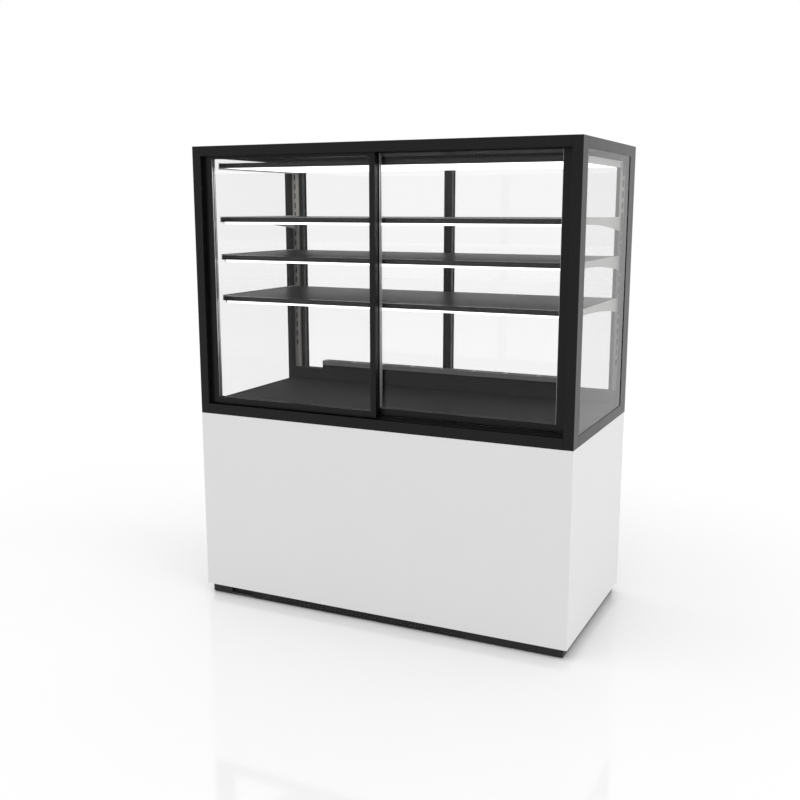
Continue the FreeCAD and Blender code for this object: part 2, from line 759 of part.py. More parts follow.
def side_glass(node, sign):
    """Double glazing: two panes that share one bed."""
    outer = "case_width / 2 - side_pane_inset"
    faces = {"outer": ("side_pane", "0"),
             "inner": ("2 * side_pane + side_pane_space", "side_pane + side_pane_space")}
    panes = []
    for place, (far, near) in faces.items():
        across = [f"{sign} * ({outer} - ({far}))", f"{sign} * ({outer} - ({near}))"]
        if sign == "-1":
            across.reverse()
        along = (f"{FRONT} + post_depth + fit_gap", f"{REAR} - rear_stile_width + glass_bite - 1")
        upward = ("base_height + sill_rise - glass_bite + 1", "case_height - side_border + glass_bite - 1")
        panes.append(block(f"{node}_{place}", across, along, upward))
    subpart(group(node, panes))


def rear_glazing():
    """Two fixed rear lights in one black frame, met at a centre mullion."""
    half = "case_width / 2 - side_wall - fit_gap"
    front = f"{REAR} - rear_wall"
    top = "case_height - roof_sheet"
    low = "base_height + sill_rise + 14"
    high = f"{top} - rear_border"
    bed_front = f"{REAR} - 12.5"
    slab = block("rear_slab", (f"-({half})", half), (front, REAR), ("base_height", top))
    cuts = [block("mullion_joint", ("-0.6", "0.6"), (f"{front} - 1", f"{front} + 2"), (low, high))]
    panes = []
    for side, sign in (("left", "-1"), ("right", "1")):
        across = [f"{sign} * mullion / 2", f"{sign} * ({half} - rear_stile)"]
        bed = [f"{sign} * (mullion / 2 - glass_bite)", f"{sign} * ({half} - rear_stile + glass_bite)"]
        pane = [f"{sign} * (mullion / 2 - glass_bite + 1)",
                f"{sign} * ({half} - rear_stile + glass_bite - 1)"]
        if sign == "-1":
            across.reverse()
            bed.reverse()
            pane.reverse()
        cuts.append(block(f"rear_sight_{side}", across, (f"{front} - 1", f"{REAR} + 1"), (low, high)))
        bed_rear = f"{bed_front} + 2 * side_pane + side_pane_space"
        cuts.append(block(f"rear_bed_{side}", bed, (bed_front, bed_rear),
                          (f"{low} - glass_bite", f"{high} + glass_bite")))
        starts = {"inner": bed_front, "outer": f"{bed_front} + side_pane + side_pane_space"}
        for place, start in starts.items():
            panes.append(block(f"rear_pane_{side}_{place}", pane, (start, f"{start} + side_pane"),
                               (f"{low} - glass_bite + 1", f"{high} + glass_bite - 1")))
    subpart(carve("rear_frame", slab, cuts))
    subpart(group("rear_glass", panes))


def roof_panel():
    half = "case_width / 2 - side_wall - fit_gap"
    subpart(block("roof_panel", (f"-({half})", half), (f"{FRONT} + track_depth + fit_gap", REAR),
                  ("case_height - roof_sheet", "case_height")))


# ------------------------------------------------------------- cabin fittings

def deck():
    """Insulated tub and the black deck tray over it, with return and supply air slots."""
    front = f"{FRONT} + track_depth + 0.5"
    under = "deck_top - deck_thick"
    tub = block("tub_solid", ("-550", "550"), (front, "245"), ("insulation_floor", under))
    well = block("tub_well", ("-550 + insulation_wall", "550 - insulation_wall"),
                 (f"{front} + insulation_wall", "245 - insulation_wall"),
                 ("insulation_floor + 40", f"{under} + 1"))
    pipe_way = rod("tub_pipe_way", "z", "8", ("330", "60"),
                   ("insulation_floor - 1", "insulation_floor + 50"))
    throat = block("tub_throat", ("-440", "440"), ("245 - insulation_wall - 1", "246"),
                   (f"{under} - 25", f"{under} + 1"))
    subpart(carve("deck_insulation", tub, [well, pipe_way, throat]))
    half = "case_width / 2 - side_wall - fit_gap"
    plate = block("deck_plate", (f"-({half})", half),
                  (f"{FRONT} + track_depth + fit_gap", f"{REAR} - rear_wall - fit_gap"),
                  (under, "deck_top"))
    cuts = [block("supply_slot", ("-440", "440"), ("232", "262"), (f"{under} - 1", "deck_top + 1"))]
    for number, middle in enumerate((-340, 0, 340)):
        cuts.append(block(f"return_slot_{number}", (f"{middle} - 150", f"{middle} + 150"),
                          (f"{front} + insulation_wall + 3", f"{front} + insulation_wall + 13"),
                          (f"{under} - 1", "deck_top + 1")))
    subpart(carve("deck_tray", plate, cuts))


def rear_air_duct():
    """Full-width ledge behind the deck with the taller supply duct in its middle."""
    half = "case_width / 2 - side_wall - fit_gap"
    rear = f"{REAR} - rear_wall - fit_gap"
    front = f"{rear} - ledge_depth"
    along = (front, rear)
    ledge = block("ledge_solid", (f"-({half})", half), along, ("deck_top", "deck_top + ledge_rise"))
    riser = block("riser_solid", ("-duct_half", "duct_half"), along, ("deck_top", "deck_top + duct_rise"))
    hollow = (f"{front} + 2", f"{rear} - 2")
    cuts = [block("riser_way", ("-duct_half + 2", "duct_half - 2"), hollow,
                  ("deck_top - 1", "deck_top + duct_rise + 1"))]
    for side, sign in (("left", "-1"), ("right", "1")):
        across = [f"{sign} * (duct_half + 2)", f"{sign} * ({half} - 2)"]
        if sign == "-1":
            across.reverse()
        cuts.append(block(f"ledge_way_{side}", across, hollow,
                          ("deck_top - 1", "deck_top + ledge_rise - 2")))
    subpart(carve("rear_air_duct", join("duct_solid", [ledge, riser]), cuts))


def air_outlet_grille():
    """Grey louvred cap of the supply duct."""
    rear = f"{REAR} - rear_wall - fit_gap"
    front = f"{rear} - ledge_depth"
    base = "deck_top + duct_rise"
    body = new_body("air_outlet_grille")
    cap = new_sketch(body, "grille_cap", "XY_Plane", base)
    rectangle(cap, ("-duct_half", "duct_half"), (front, rear))
    pad(body, cap, "grille_rise")
    inside = new_sketch(body, "grille_inside", "XY_Plane", base)
    rectangle(inside, ("-duct_half + 2", "duct_half - 2"), (f"{front} + 2", f"{rear} - 2"))
    pocket(body, inside, "grille_rise - 2", reverse=True)
    slots = new_sketch(body, "grille_slots", "XY_Plane", f"{base} + grille_rise")
    for row in range(3):
        place = f"{front} + 5 + {row} * 9.5"
        rectangle(slots, ("-duct_half + 12", "-duct_half + 112"), (place, f"{place} + 6"))
    first = pocket(body, slots, "3")
    repeat(body, [first], "X_Axis", "112", "8")
    subpart(body)


def upright(node, sign):
    """Slotted steel channel in the rear corner, open to the rear."""
    outer = "case_width / 2 - side_wall - fit_gap"
    inner = f"{outer} - upright_width"
    rear = f"{REAR} - rear_wall - fit_gap"
    front = f"{rear} - upright_depth"
    wall = "upright_wall"
    section = [(inner, front), (outer, front), (outer, rear), (f"{outer} - {wall}", rear),
               (f"{outer} - {wall}", f"{front} + {wall}"), (f"{inner} + {wall}", f"{front} + {wall}"),
               (f"{inner} + {wall}", rear), (inner, rear)]
    body = new_body(node)
    sketch = new_sketch(body, f"{node}_section", "XY_Plane", "deck_top + ledge_rise")
    outline(sketch, [(f"{sign} * ({x})", y) for x, y in section])
    pad(body, sketch, "upright_top - deck_top - ledge_rise")
    slot = new_sketch(body, f"{node}_slot", "XZ_Plane", f"-({front}) + 1")
    middle = f"{sign} * ({outer} - upright_width / 2)"
    rectangle(slot, (f"{middle} - slot_width / 2", f"{middle} + slot_width / 2"),
              ("slot_top_centre - slot_rise / 2", "slot_top_centre + slot_rise / 2"))
    first = pocket(body, slot, "upright_wall + 2")
    repeat(body, [first], "Z_Axis", "slot_pitch", "slot_count", reverse=True)
    subpart(body)


def bracket(name, sign, level, arched):
    """Cantilever bracket: web with a straight or arched lower edge, inward ledge and a hook."""
    top = f"{level} + bar_rise + bracket_over"
    nose = f"{FRONT} + bar_setback + bar_depth + 2"
    rear = f"{REAR} - rear_wall - fit_gap - upright_depth - 0.2"
    middle = "case_width / 2 - side_wall - fit_gap - upright_width / 2"
    steps = max(0, ceil(amount_of(f"(slot_top_centre - slot_rise / 2 - ({top}) + 9.4) / slot_pitch")))
    seat = f"slot_top_centre - slot_rise / 2 - {steps} * slot_pitch + 0.3"
    wall = f"{rear} + upright_wall + 0.6"
    if arched:
        lower = [(nose, f"{top} - bracket_nose"), ("-150", f"{top} - bracket_nose"),
                 (rear, f"min({top} - bracket_root; {seat} - 1)")]
        arch = {1: ("60", f"{top} - bracket_nose - (bracket_root - bracket_nose) * 0.27")}
    else:
        lower = [(nose, f"{top} - canopy_web"), (rear, f"min({top} - canopy_web; {seat} - 1)")]
        arch = None
    corners = lower + [(rear, seat), (wall, seat), (wall, f"{seat} - 6"), (f"{wall} + 3", f"{seat} - 6"),
                       (f"{wall} + 3", f"{seat} + 9"), (rear, f"{seat} + 9"), (rear, top), (nose, top)]
    body = new_body(name)
    web = new_sketch(body, f"{name}_web", "YZ_Plane", f"{sign} * ({middle})")
    outline(web, corners, arch)
    pad(body, web, "bracket_sheet", both_ways=True)
    ledge = new_sketch(body, f"{name}_ledge", "XY_Plane", f"{level} + bar_rise - plate_thick")
    across = [f"{sign} * ({middle} + bracket_sheet / 2 - 0.1)", f"{sign} * ({middle} - bracket_ledge)"]
    if sign == "1":
        across.reverse()
    rectangle(ledge, across, (nose, f"{rear} - 8"))
    pad(body, ledge, "3", reverse=True)
    return body


def shelf_brackets():
    pieces = []
    for node, level in {**LEVELS, "canopy": "canopy_level"}.items():
        for side, sign in (("left", "-1"), ("right", "1")):
            pieces.append(bracket(f"bracket_{node}_{side}", sign, level, node != "canopy"))
    subpart(group("shelf_brackets", pieces))


def front_bar(node, level):
    """Front edge bar of a shelf or of the canopy, with rounded ends."""
    front = f"{FRONT} + bar_setback"
    core = block(f"{node}_core", ("-bar_half", "bar_half"), (front, f"{front} + bar_depth"),
                 (level, f"{level} + bar_rise"))
    return rounded(node, core, "y", "bar_round")


def shelf(name, level):
    """Lift-off shelf: plate, front bar and the light strip under the bar."""
    back = f"{FRONT} + bar_setback + bar_depth"
    body = new_body(f"{name}_plate")
    sketch = new_sketch(body, f"{name}_plan", "XY_Plane", f"{level} + bar_rise")
    outline(sketch, [("-plate_half", back), ("plate_half", back), ("plate_half", "plate_rear - 14"),
                     ("plate_half - 14", "plate_rear"), ("-plate_half + 14", "plate_rear"),
                     ("-plate_half", "plate_rear - 14")])
    pad(body, sketch, "plate_thick", reverse=True)
    under = new_sketch(body, f"{name}_under", "XY_Plane", f"{level} + bar_rise - plate_thick")
    rectangle(under, ("-plate_half + 16", "plate_half - 16"), (f"{back} + 2", "plate_rear - 16"))
    pocket(body, under, "plate_thick - panel_sheet", reverse=True)
    subpart(body)
    subpart(front_bar(f"{name}_front_bar", level))
    subpart(block(f"{name}_light", ("-light_half", "light_half"),
                  (f"{back} - 3 - light_depth", f"{back} - 3"), (f"{level} - light_rise", level)))


def canopy():
    """Fixed top shelf: housing with the front bar, and the luminous panel under it."""
    back = f"{FRONT} + bar_setback + bar_depth"
    plate = block("canopy_plate", ("-plate_half", "plate_half"), (back, "plate_rear"),
                  ("canopy_level + 6", "canopy_level + bar_rise"))
    inside = block("canopy_inside", ("-plate_half + 2", "plate_half - 2"),
                   (f"{back} + 2", "plate_rear - 2"),
                   ("canopy_level + 5", "canopy_level + bar_rise - panel_sheet"))
    bar = front_bar("canopy_bar", "canopy_level")
    subpart(join("canopy_housing", [bar, carve("canopy_tray", plate, [inside])]))
    subpart(block("canopy_diffuser", ("-diffuser_half", "diffuser_half"), (back, "plate_rear"),
                  ("canopy_level", "canopy_level + 6")))


# ------------------------------------------------------------------- doors

def door(side, left, right, setback, floor, closing_on_left):
    """Sliding door: four grooved members, one pane and two rollers in the bottom rail."""
    name = f"{side}_door"
    front = f"{FRONT} + {setback}"
    along = (front, f"{front} + door_thick")
    middle = f"{front} + door_thick / 2"
    low = f"base_height + {floor} + door_lift"
    high = f"{low} + door_rise"
    stiles = ["closing_stile", "meeting_stile"]
    first, second = stiles if closing_on_left else reversed(stiles)
    in_left = f"{left} + {first}"
    in_right = f"{right} - {second}"
    in_low = f"{low} + door_bottom_rail"
    in_high = f"{high} - door_top_rail"
    bed = block(f"{name}_bed", (f"{in_left} - glass_bite - 1", f"{in_right} + glass_bite + 1"),
                (f"{middle} - door_pane / 2 - 0.3", f"{middle} + door_pane / 2 + 0.3"),
                (f"{in_low} - glass_bite - 1", f"{in_high} + glass_bite + 1"))
    axle_level = f"base_height + {floor} - slot_sink + wheel_clearance + roller_radius"
    wheels = {"a": f"{left} + roller_inset", "b": f"{right} - roller_inset"}
    pits = []
    axles = []
    for letter, place in wheels.items():
        pits.append(block(f"{name}_pit_{letter}",
                          (f"{place} - roller_radius - 1", f"{place} + roller_radius + 1"),
                          (f"{middle} - roller_width / 2 - 0.5", f"{middle} + roller_width / 2 + 0.5"),
                          (f"{low} - 1", f"{axle_level} + roller_radius + 0.8")))
        axles.append(rod(f"{name}_axle_{letter}", "y", "axle_radius", (place, axle_level),
                         (f"{middle} - roller_width / 2 - 2", f"{middle} + roller_width / 2 + 2")))
    bottom_bar = block(f"{name}_bottom_bar", (in_left, in_right), along, (low, in_low))
    bottom = join(f"{name}_bottom", [carve(f"{name}_bottom_cut", bottom_bar, [bed] + pits)] + axles)
    members = [bottom]
    spans = {"top": ((in_left, in_right), (in_high, high)),
             "left_stile": ((left, in_left), (low, high)),
             "right_stile": ((in_right, right), (low, high))}
    for member, (across, upward) in spans.items():
        bar = block(f"{name}_{member}_bar", across, along, upward)
        members.append(carve(f"{name}_{member}", bar, [bed]))
    subpart(group(f"{name}_frame", members))
    subpart(block(f"{name}_glass", (f"{in_left} - glass_bite", f"{in_right} + glass_bite"),
                  (f"{middle} - door_pane / 2", f"{middle} + door_pane / 2"),
                  (f"{in_low} - glass_bite", f"{in_high} + glass_bite")))
    for letter, place in wheels.items():
        tyre = rod(f"{name}_tyre_{letter}", "y", "roller_radius", (place, axle_level),
                   (f"{middle} - roller_width / 2", f"{middle} + roller_width / 2"))
        bore = rod(f"{name}_roller_bore_{letter}", "y", "axle_radius + 0.08", (place, axle_level),
                   (f"{middle} - roller_width", f"{middle} + roller_width"))
        subpart(carve(f"{name}_roller_{letter}", tyre, [bore]))


# -------------------------------------------------------------------- build

front_panel()
side_panel("left_side_panel", LEFT, False)
side_panel("right_side_panel", RIGHT, True)
rear_panel()
base_pan()
chassis_frame()
plinth()
for node, centre in FEET.items():
    foot(node, centre)

compressor()
finned_coil("condenser_coil", ("-430", "-130"), ("-228", "-186"), ("50", "330"), 24)
condenser_fan_shroud()
axial_fan("condenser_fan", ("-280", "190"), "-142", "118", "28", "4.1")
finned_coil("evaporator_coil", ("-300", "300"), ("20", "100"), ("484", "584"), 30)
evaporator_fan_housing()
axial_fan("evaporator_fan", ("0", "534"), "162.5", "51", "16", "3.1")
refrigerant_pipes()
control_panel()
light_switch()
cable_gland()

front_post("front_left_post", "-1")
front_post("front_right_post", "1")
front_sill()
front_head_rail()
for side, sign in (("left", "-1"), ("right", "1")):
    side_frame(f"{side}_side_frame", sign)
    side_glass(f"{side}_side_glass", sign)
    upright(f"{side}_upright", sign)
rear_glazing()
roof_panel()

deck()
rear_air_duct()
air_outlet_grille()
shelf_brackets()
for name, level in LEVELS.items():
    shelf(name, level)
canopy()

post = "(post_width + fit_gap)"
door("left", f"{LEFT} + {post}", "meeting_lap", "outer_setback", "outer_floor", True)
door("right", "meeting_lap - meeting_stile", f"{RIGHT} - {post} - post_lip", "inner_setback", "inner_floor",
     False)

doc.recompute()
faults = []
for item in doc.Objects:
    if "Invalid" in item.State or "Error" in item.State:
        faults.append(f"{item.Name}: {item.State}")
for item in SUBPARTS:
    if item.Shape.isNull() or not item.Shape.isValid():
        faults.append(f"{item.Label}: shape is null or not valid")
if faults:
    raise RuntimeError("; ".join(faults))

os.makedirs("parts", exist_ok=True)
for item in SUBPARTS:
    item.Shape.exportStep(f"parts/{item.Label}.step")
print(len(SUBPARTS), "nodes written")
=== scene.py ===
import json
import logging
import math
from dataclasses import dataclass
from enum import Enum

import bmesh
import bpy
from mathutils import Matrix, Vector


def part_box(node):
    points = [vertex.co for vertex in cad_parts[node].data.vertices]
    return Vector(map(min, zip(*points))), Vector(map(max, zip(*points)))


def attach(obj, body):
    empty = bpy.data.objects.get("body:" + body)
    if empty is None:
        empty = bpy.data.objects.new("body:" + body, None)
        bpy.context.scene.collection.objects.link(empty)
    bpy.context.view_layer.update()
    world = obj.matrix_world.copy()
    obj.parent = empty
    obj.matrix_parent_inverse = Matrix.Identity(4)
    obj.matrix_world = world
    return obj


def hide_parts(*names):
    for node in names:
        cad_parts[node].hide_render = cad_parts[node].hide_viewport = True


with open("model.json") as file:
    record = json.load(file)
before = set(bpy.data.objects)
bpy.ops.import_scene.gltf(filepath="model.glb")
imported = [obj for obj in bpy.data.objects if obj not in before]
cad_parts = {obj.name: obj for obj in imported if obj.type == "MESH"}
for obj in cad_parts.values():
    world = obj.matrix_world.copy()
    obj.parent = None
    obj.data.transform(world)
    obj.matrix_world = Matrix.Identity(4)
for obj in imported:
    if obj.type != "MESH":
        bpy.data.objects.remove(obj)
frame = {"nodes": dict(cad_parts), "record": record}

LOG = logging.getLogger("display_case")
MM = 0.001
SAME_POINT = 0.001 * MM
WELD = 0.01 * MM
NODES = frame["nodes"]
BODY_OF = {node: body for body, nodes in frame["record"]["behaviour"]["bodies"].items() for node in nodes}


class Axis(Enum):
    """A direction of the case's frame, by its index in a vector."""

    ACROSS = 0
    DEPTH = 1
    UPWARD = 2

    def unit(self) -> Vector:
        """The unit vector along this axis."""
        return Vector([1.0 if index == self.value else 0.0 for index in range(3)])


# ------------------------------------------------------------------- shaders

class Value:
    """A number in a material; Python's operators on it add Math nodes."""

    def __init__(self, graph: "Graph", socket: bpy.types.NodeSocket) -> None:
        """Keep the socket and the graph it belongs to."""
        self.graph = graph
        self.socket = socket

    def _math(self, operation: str, *terms: "Value | float") -> "Value":
        """One Math node on the given terms."""
        made = self.graph.node("ShaderNodeMath", {"operation": operation}, dict(enumerate(terms)))
        return Value(self.graph, made.outputs[0])

    def __add__(self, other: "Value | float") -> "Value":
        """Sum."""
        return self._math("ADD", self, other)

    def __sub__(self, other: "Value | float") -> "Value":
        """Difference."""
        return self._math("SUBTRACT", self, other)

    def __rsub__(self, other: "Value | float") -> "Value":
        """Difference, the other way round."""
        return self._math("SUBTRACT", other, self)

    def __mul__(self, other: "Value | float") -> "Value":
        """Product."""
        return self._math("MULTIPLY", self, other)

    __radd__ = __add__
    __rmul__ = __mul__

    def power(self, exponent: float) -> "Value":
        """This value raised to a power."""
        return self._math("POWER", self, exponent)

    def wave(self) -> "Value":
        """The sine of this value, in radians."""
        return self._math("SINE", self)


class Graph:
    """The node tree of one new material."""

    def __init__(self, name: str) -> None:
        """Start an empty material.

        Args:
            name: the material's name.
        """
        self.material = bpy.data.materials.new(name)
        self.material.use_nodes = True
        self.tree = self.material.node_tree
        self.tree.nodes.clear()

    def node(self, kind: str, settings: dict | None = None, sockets: dict | None = None) -> bpy.types.Node:
        """Add one node.

        Args:
            kind: the node's type.
            settings: properties set before anything is linked.
            sockets: values or links by socket name or number.

        Returns:
            The node.
        """
        made = self.tree.nodes.new(kind)
        for key, value in (settings or {}).items():
            setattr(made, key, value)
        for key, value in (sockets or {}).items():
            if isinstance(value, Value):
                value = value.socket
            if isinstance(value, bpy.types.NodeSocket):
                self.tree.links.new(value, made.inputs[key])
            else:
                made.inputs[key].default_value = value
        return made

    def place(self, stretch: tuple[float, float, float] = (1.0, 1.0, 1.0)) -> bpy.types.NodeSocket:
        """Object coordinates, stretched along each axis."""
        where = self.node("ShaderNodeTexCoord").outputs["Object"]
        return self.node("ShaderNodeMapping", None, {"Vector": where, "Scale": stretch}).outputs[0]

    def along(self, axis: Axis) -> Value:
        """The object coordinate along one axis, in metres."""
        where = self.node("ShaderNodeTexCoord").outputs["Object"]
        return Value(self, self.node("ShaderNodeSeparateXYZ", None, {0: where}).outputs[axis.value])

    def noise(self, scale: float, detail: float = 2.0, stretch: tuple = (1.0, 1.0, 1.0)) -> Value:
        """Cloudy noise from 0 to 1, with scale in features a metre."""
        sockets = {"Vector": self.place(stretch), "Scale": scale, "Detail": detail}
        return Value(self, self.node("ShaderNodeTexNoise", None, sockets).outputs[0])

    def cells(self, scale: float) -> Value:
        """Crystal-like cells, each with its own value from 0 to 1.

        Args:
            scale: how many cells there are to a metre.

        Returns:
            The cells' values.
        """
        sockets = {"Vector": self.place(), "Scale": scale}
        colour = self.node("ShaderNodeTexVoronoi", None, sockets).outputs["Color"]
        return Value(self, self.node("ShaderNodeSeparateColor", None, {0: colour}).outputs[0])

    def tint(self, share: Value, low: tuple, high: tuple) -> bpy.types.NodeSocket:
        """A colour between two colours.

        Args:
            share: how much of the second colour there is, from 0 to 1.
            low: the first colour.
            high: the second colour.

        Returns:
            The mixed colour.
        """
        sockets = {0: share, 6: (*low, 1.0), 7: (*high, 1.0)}
        settings = {"data_type": "RGBA", "clamp_factor": True}
        return self.node("ShaderNodeMix", settings, sockets).outputs[2]

    def bump(self, height: Value, strength: float, distance: float) -> bpy.types.NodeSocket:
        """A normal disturbed by a height."""
        sockets = {"Height": height, "Strength": strength, "Distance": distance}
        return self.node("ShaderNodeBump", None, sockets).outputs[0]

    def surface(self, shader: bpy.types.NodeSocket) -> bpy.types.Material:
        """Close the tree with a shader and hand over the material."""
        self.node("ShaderNodeOutputMaterial", None, {"Surface": shader})
        return self.material

    def principled(self, sockets: dict) -> bpy.types.NodeSocket:
        """A Principled shader."""
        return self.node("ShaderNodeBsdfPrincipled", None, sockets).outputs[0]


def shade(colour: tuple, factor: float) -> tuple:
    """A colour made lighter or darker by a factor."""
    return tuple(min(1.0, part * factor) for part in colour)


@dataclass(frozen=True)
class Finish:
    """What every finish has: a name and a base colour, in linear light."""

    name: str
    colour: tuple[float, float, float]

    def material(self) -> bpy.types.Material:
        """The finish's material, made once."""
        return bpy.data.materials.get(self.name) or self.build(Graph(self.name))

    def build(self, graph: Graph) -> bpy.types.Material:
        """Build the material's nodes; each finish has its own."""
        raise NotImplementedError

    def tone(self, graph: Graph, share: Value, low: float, high: float) -> bpy.types.NodeSocket:
        """The finish's colour, swinging between a darker and a lighter shade of it."""
        return graph.tint(share, shade(self.colour, low), shade(self.colour, high))


@dataclass(frozen=True)
class PowderCoat(Finish):
    """Baked powder paint with faint orange peel and uneven gloss."""

    roughness: float = 0.4
    gloss: float = 0.5
    mottle: float = 0.03
    cloud_scale: float = 5.0
    patch_scale: float = 60.0
    patch_swing: float = 0.08
    peel: float = 0.12
    peel_scale: float = 700.0
    peel_depth: float = 0.2 * MM

    def build(self, graph: Graph) -> bpy.types.Material:
        """Mottled colour, cloudy roughness and a pebbled surface.

        Args:
            graph: the empty node tree.

        Returns:
            The finished material.
        """
        clouds = graph.noise(self.cloud_scale, 3.0)
        peel = graph.noise(self.peel_scale, 1.0)
        patches = graph.noise(self.patch_scale, 3.0) * self.patch_swing
        return graph.surface(graph.principled({
            "Base Color": self.tone(graph, clouds, 1.0 - self.mottle, 1.0 + self.mottle),
            "Roughness": patches + (self.roughness - self.patch_swing / 2),
            "Specular IOR Level": self.gloss,
            "Normal": graph.bump(peel, self.peel, self.peel_depth)}))


@dataclass(frozen=True)
class Anodised(Finish):
    """Extruded aluminium, anodised, with die lines drawn along its length."""

    grain: Axis = Axis.ACROSS
    roughness: float = 0.3
    gloss: float = 0.2
    line_scale: float = 900.0
    line_stretch: float = 0.012
    line_depth: float = 0.1 * MM
    dust_scale: float = 9.0

    def build(self, graph: Graph) -> bpy.types.Material:
        """Long thin streaks in the gloss and the normal, over a near-black base.

        Args:
            graph: the empty node tree.

        Returns:
            The finished material.
        """
        stretch = tuple(self.line_stretch if index == self.grain.value else 1.0 for index in range(3))
        lines = graph.noise(self.line_scale, 2.0, stretch)
        dust = graph.noise(self.dust_scale, 4.0).power(3.0)
        return graph.surface(graph.principled({
            "Base Color": self.tone(graph, lines * 0.6 + dust * 0.8, 0.75, 1.5),
            "Roughness": lines * 0.12 + dust * 0.1 + (self.roughness - 0.07),
            "Specular IOR Level": self.gloss,
            "Normal": graph.bump(lines, 0.08, self.line_depth)}))


@dataclass(frozen=True)
class Pane(Finish):
    """Clear float glass: see-through, with a mirror that grows at glancing angles."""

    index: float = 1.45
    coating: float = 0.65
    shine: float = 0.76
    polish: float = 0.02
    haze: float = 0.006
    haze_scale: float = 3.0

    def build(self, graph: Graph) -> bpy.types.Material:
        """Mix a transparent and a mirror shader by Fresnel, on outer faces only.

        Args:
            graph: the empty node tree.

        Returns:
            The finished material.
        """
        outside = 1.0 - Value(graph, graph.node("ShaderNodeNewGeometry").outputs["Backfacing"])
        mirror = Value(graph, graph.node("ShaderNodeFresnel", None, {"IOR": self.index}).outputs[0])
        haze = graph.noise(self.haze_scale, 3.0) * self.haze
        clear = graph.node("ShaderNodeBsdfTransparent", None, {"Color": (*self.colour, 1.0)})
        mirrored = graph.node("ShaderNodeBsdfGlossy", None, {
            "Color": (self.shine, self.shine, self.shine, 1.0), "Roughness": self.polish})
        sockets = {0: (mirror * self.coating + haze) * outside, 1: clear.outputs[0], 2: mirrored.outputs[0]}
        return graph.surface(graph.node("ShaderNodeMixShader", None, sockets).outputs[0])


@dataclass(frozen=True)
class Lit(Finish):
    """Opal plastic lit from behind by a row of diodes."""

    power: float = 1.6
    pitch: float = 16 * MM
    ripple: float = 0.05
    grain_scale: float = 1500.0
    grain_depth: float = 0.1 * MM

    def build(self, graph: Graph) -> bpy.types.Material:
        """Emission that swells a little over each diode.

        Args:
            graph: the empty node tree.

        Returns:
            The finished material.
        """
        swell = (graph.along(Axis.ACROSS) * (2.0 * math.pi / self.pitch)).wave() * 0.5 + 0.5
        grain = graph.noise(self.grain_scale, 1.0)
        return graph.surface(graph.principled({
            "Base Color": (0.9, 0.9, 0.9, 1.0), "Roughness": 0.35,
            "Emission Color": self.tone(graph, swell, 1.0 - self.ripple, 1.0),
            "Emission Strength": self.power,
            "Normal": graph.bump(grain, 0.05, self.grain_depth)}))


@dataclass(frozen=True)
class Moulded(Finish):
    """Injection-moulded plastic with a fine spark-eroded texture."""

    roughness: float = 0.5
    texture: float = 0.3
    grain_scale: float = 1800.0
    grain_depth: float = 0.2 * MM
    wear_scale: float = 14.0
    wear_swing: float = 0.12

    def build(self, graph: Graph) -> bpy.types.Material:
        """Speckled colour and a grained surface.

        Args:
            graph: the empty node tree.

        Returns:
            The finished material.
        """
        grain = graph.noise(self.grain_scale, 2.0)
        wear = graph.noise(self.wear_scale, 4.0)
        return graph.surface(graph.principled({
            "Base Color": self.tone(graph, wear, 0.88, 1.15),
            "Roughness": wear * self.wear_swing + (self.roughness - self.wear_swing / 2),
            "Specular IOR Level": 0.4,
            "Normal": graph.bump(grain, self.texture, self.grain_depth)}))


@dataclass(frozen=True)
class BareMetal(Finish):
    """Uncoated metal: spangled zinc, mill-finish fins or drawn copper."""

    roughness: float = 0.35
    spangle: float = 90.0
    tarnish: float = 0.25
    dull_scale: float = 12.0

    def build(self, graph: Graph) -> bpy.types.Material:
        """Crystal cells change the brightness and the gloss, and clouds dull them.

        Args:
            graph: the empty node tree.

        Returns:
            The finished material.
        """
        crystal = graph.cells(self.spangle)
        dull = graph.noise(self.dull_scale, 4.0)
        return graph.surface(graph.principled({
            "Base Color": self.tone(graph, crystal * 0.5 + dull * 0.5, 1.0 - self.tarnish, 1.0),
            "Metallic": 1.0,
            "Roughness": crystal * 0.12 + dull * 0.15 + (self.roughness - 0.13)}))


@dataclass(frozen=True)
class Foam(Finish):
    """Rigid insulating foam, with an open-celled skin."""

    pit_scale: float = 500.0
    pit_depth: float = 0.6 * MM
    patch_scale: float = 20.0

    def build(self, graph: Graph) -> bpy.types.Material:
        """Patchy colour and small pits.

        Args:
            graph: the empty node tree.

        Returns:
            The finished material.
        """
        pits = graph.cells(self.pit_scale)
        patches = graph.noise(self.patch_scale, 4.0)
        return graph.surface(graph.principled({
            "Base Color": self.tone(graph, patches, 0.85, 1.05),
            "Roughness": 0.85,
            "Normal": graph.bump(pits, 0.4, self.pit_depth)}))


@dataclass(frozen=True)
class PileBrush(Finish):
    """Dense woven pile of a door's weather strip."""

    hair_scale: float = 2600.0
    hair_stretch: float = 0.08
    hair_depth: float = 0.5 * MM

    def build(self, graph: Graph) -> bpy.types.Material:
        """Fine hairs that run out of the strip.

        Args:
            graph: the empty node tree.

        Returns:
            The finished material.
        """
        hairs = graph.noise(self.hair_scale, 1.0, (1.0, self.hair_stretch, 1.0))
        return graph.surface(graph.principled({
            "Base Color": self.tone(graph, hairs, 0.5, 1.6),
            "Roughness": 0.9,
            "Sheen Weight": 0.3,
            "Normal": graph.bump(hairs, 0.6, self.hair_depth)}))


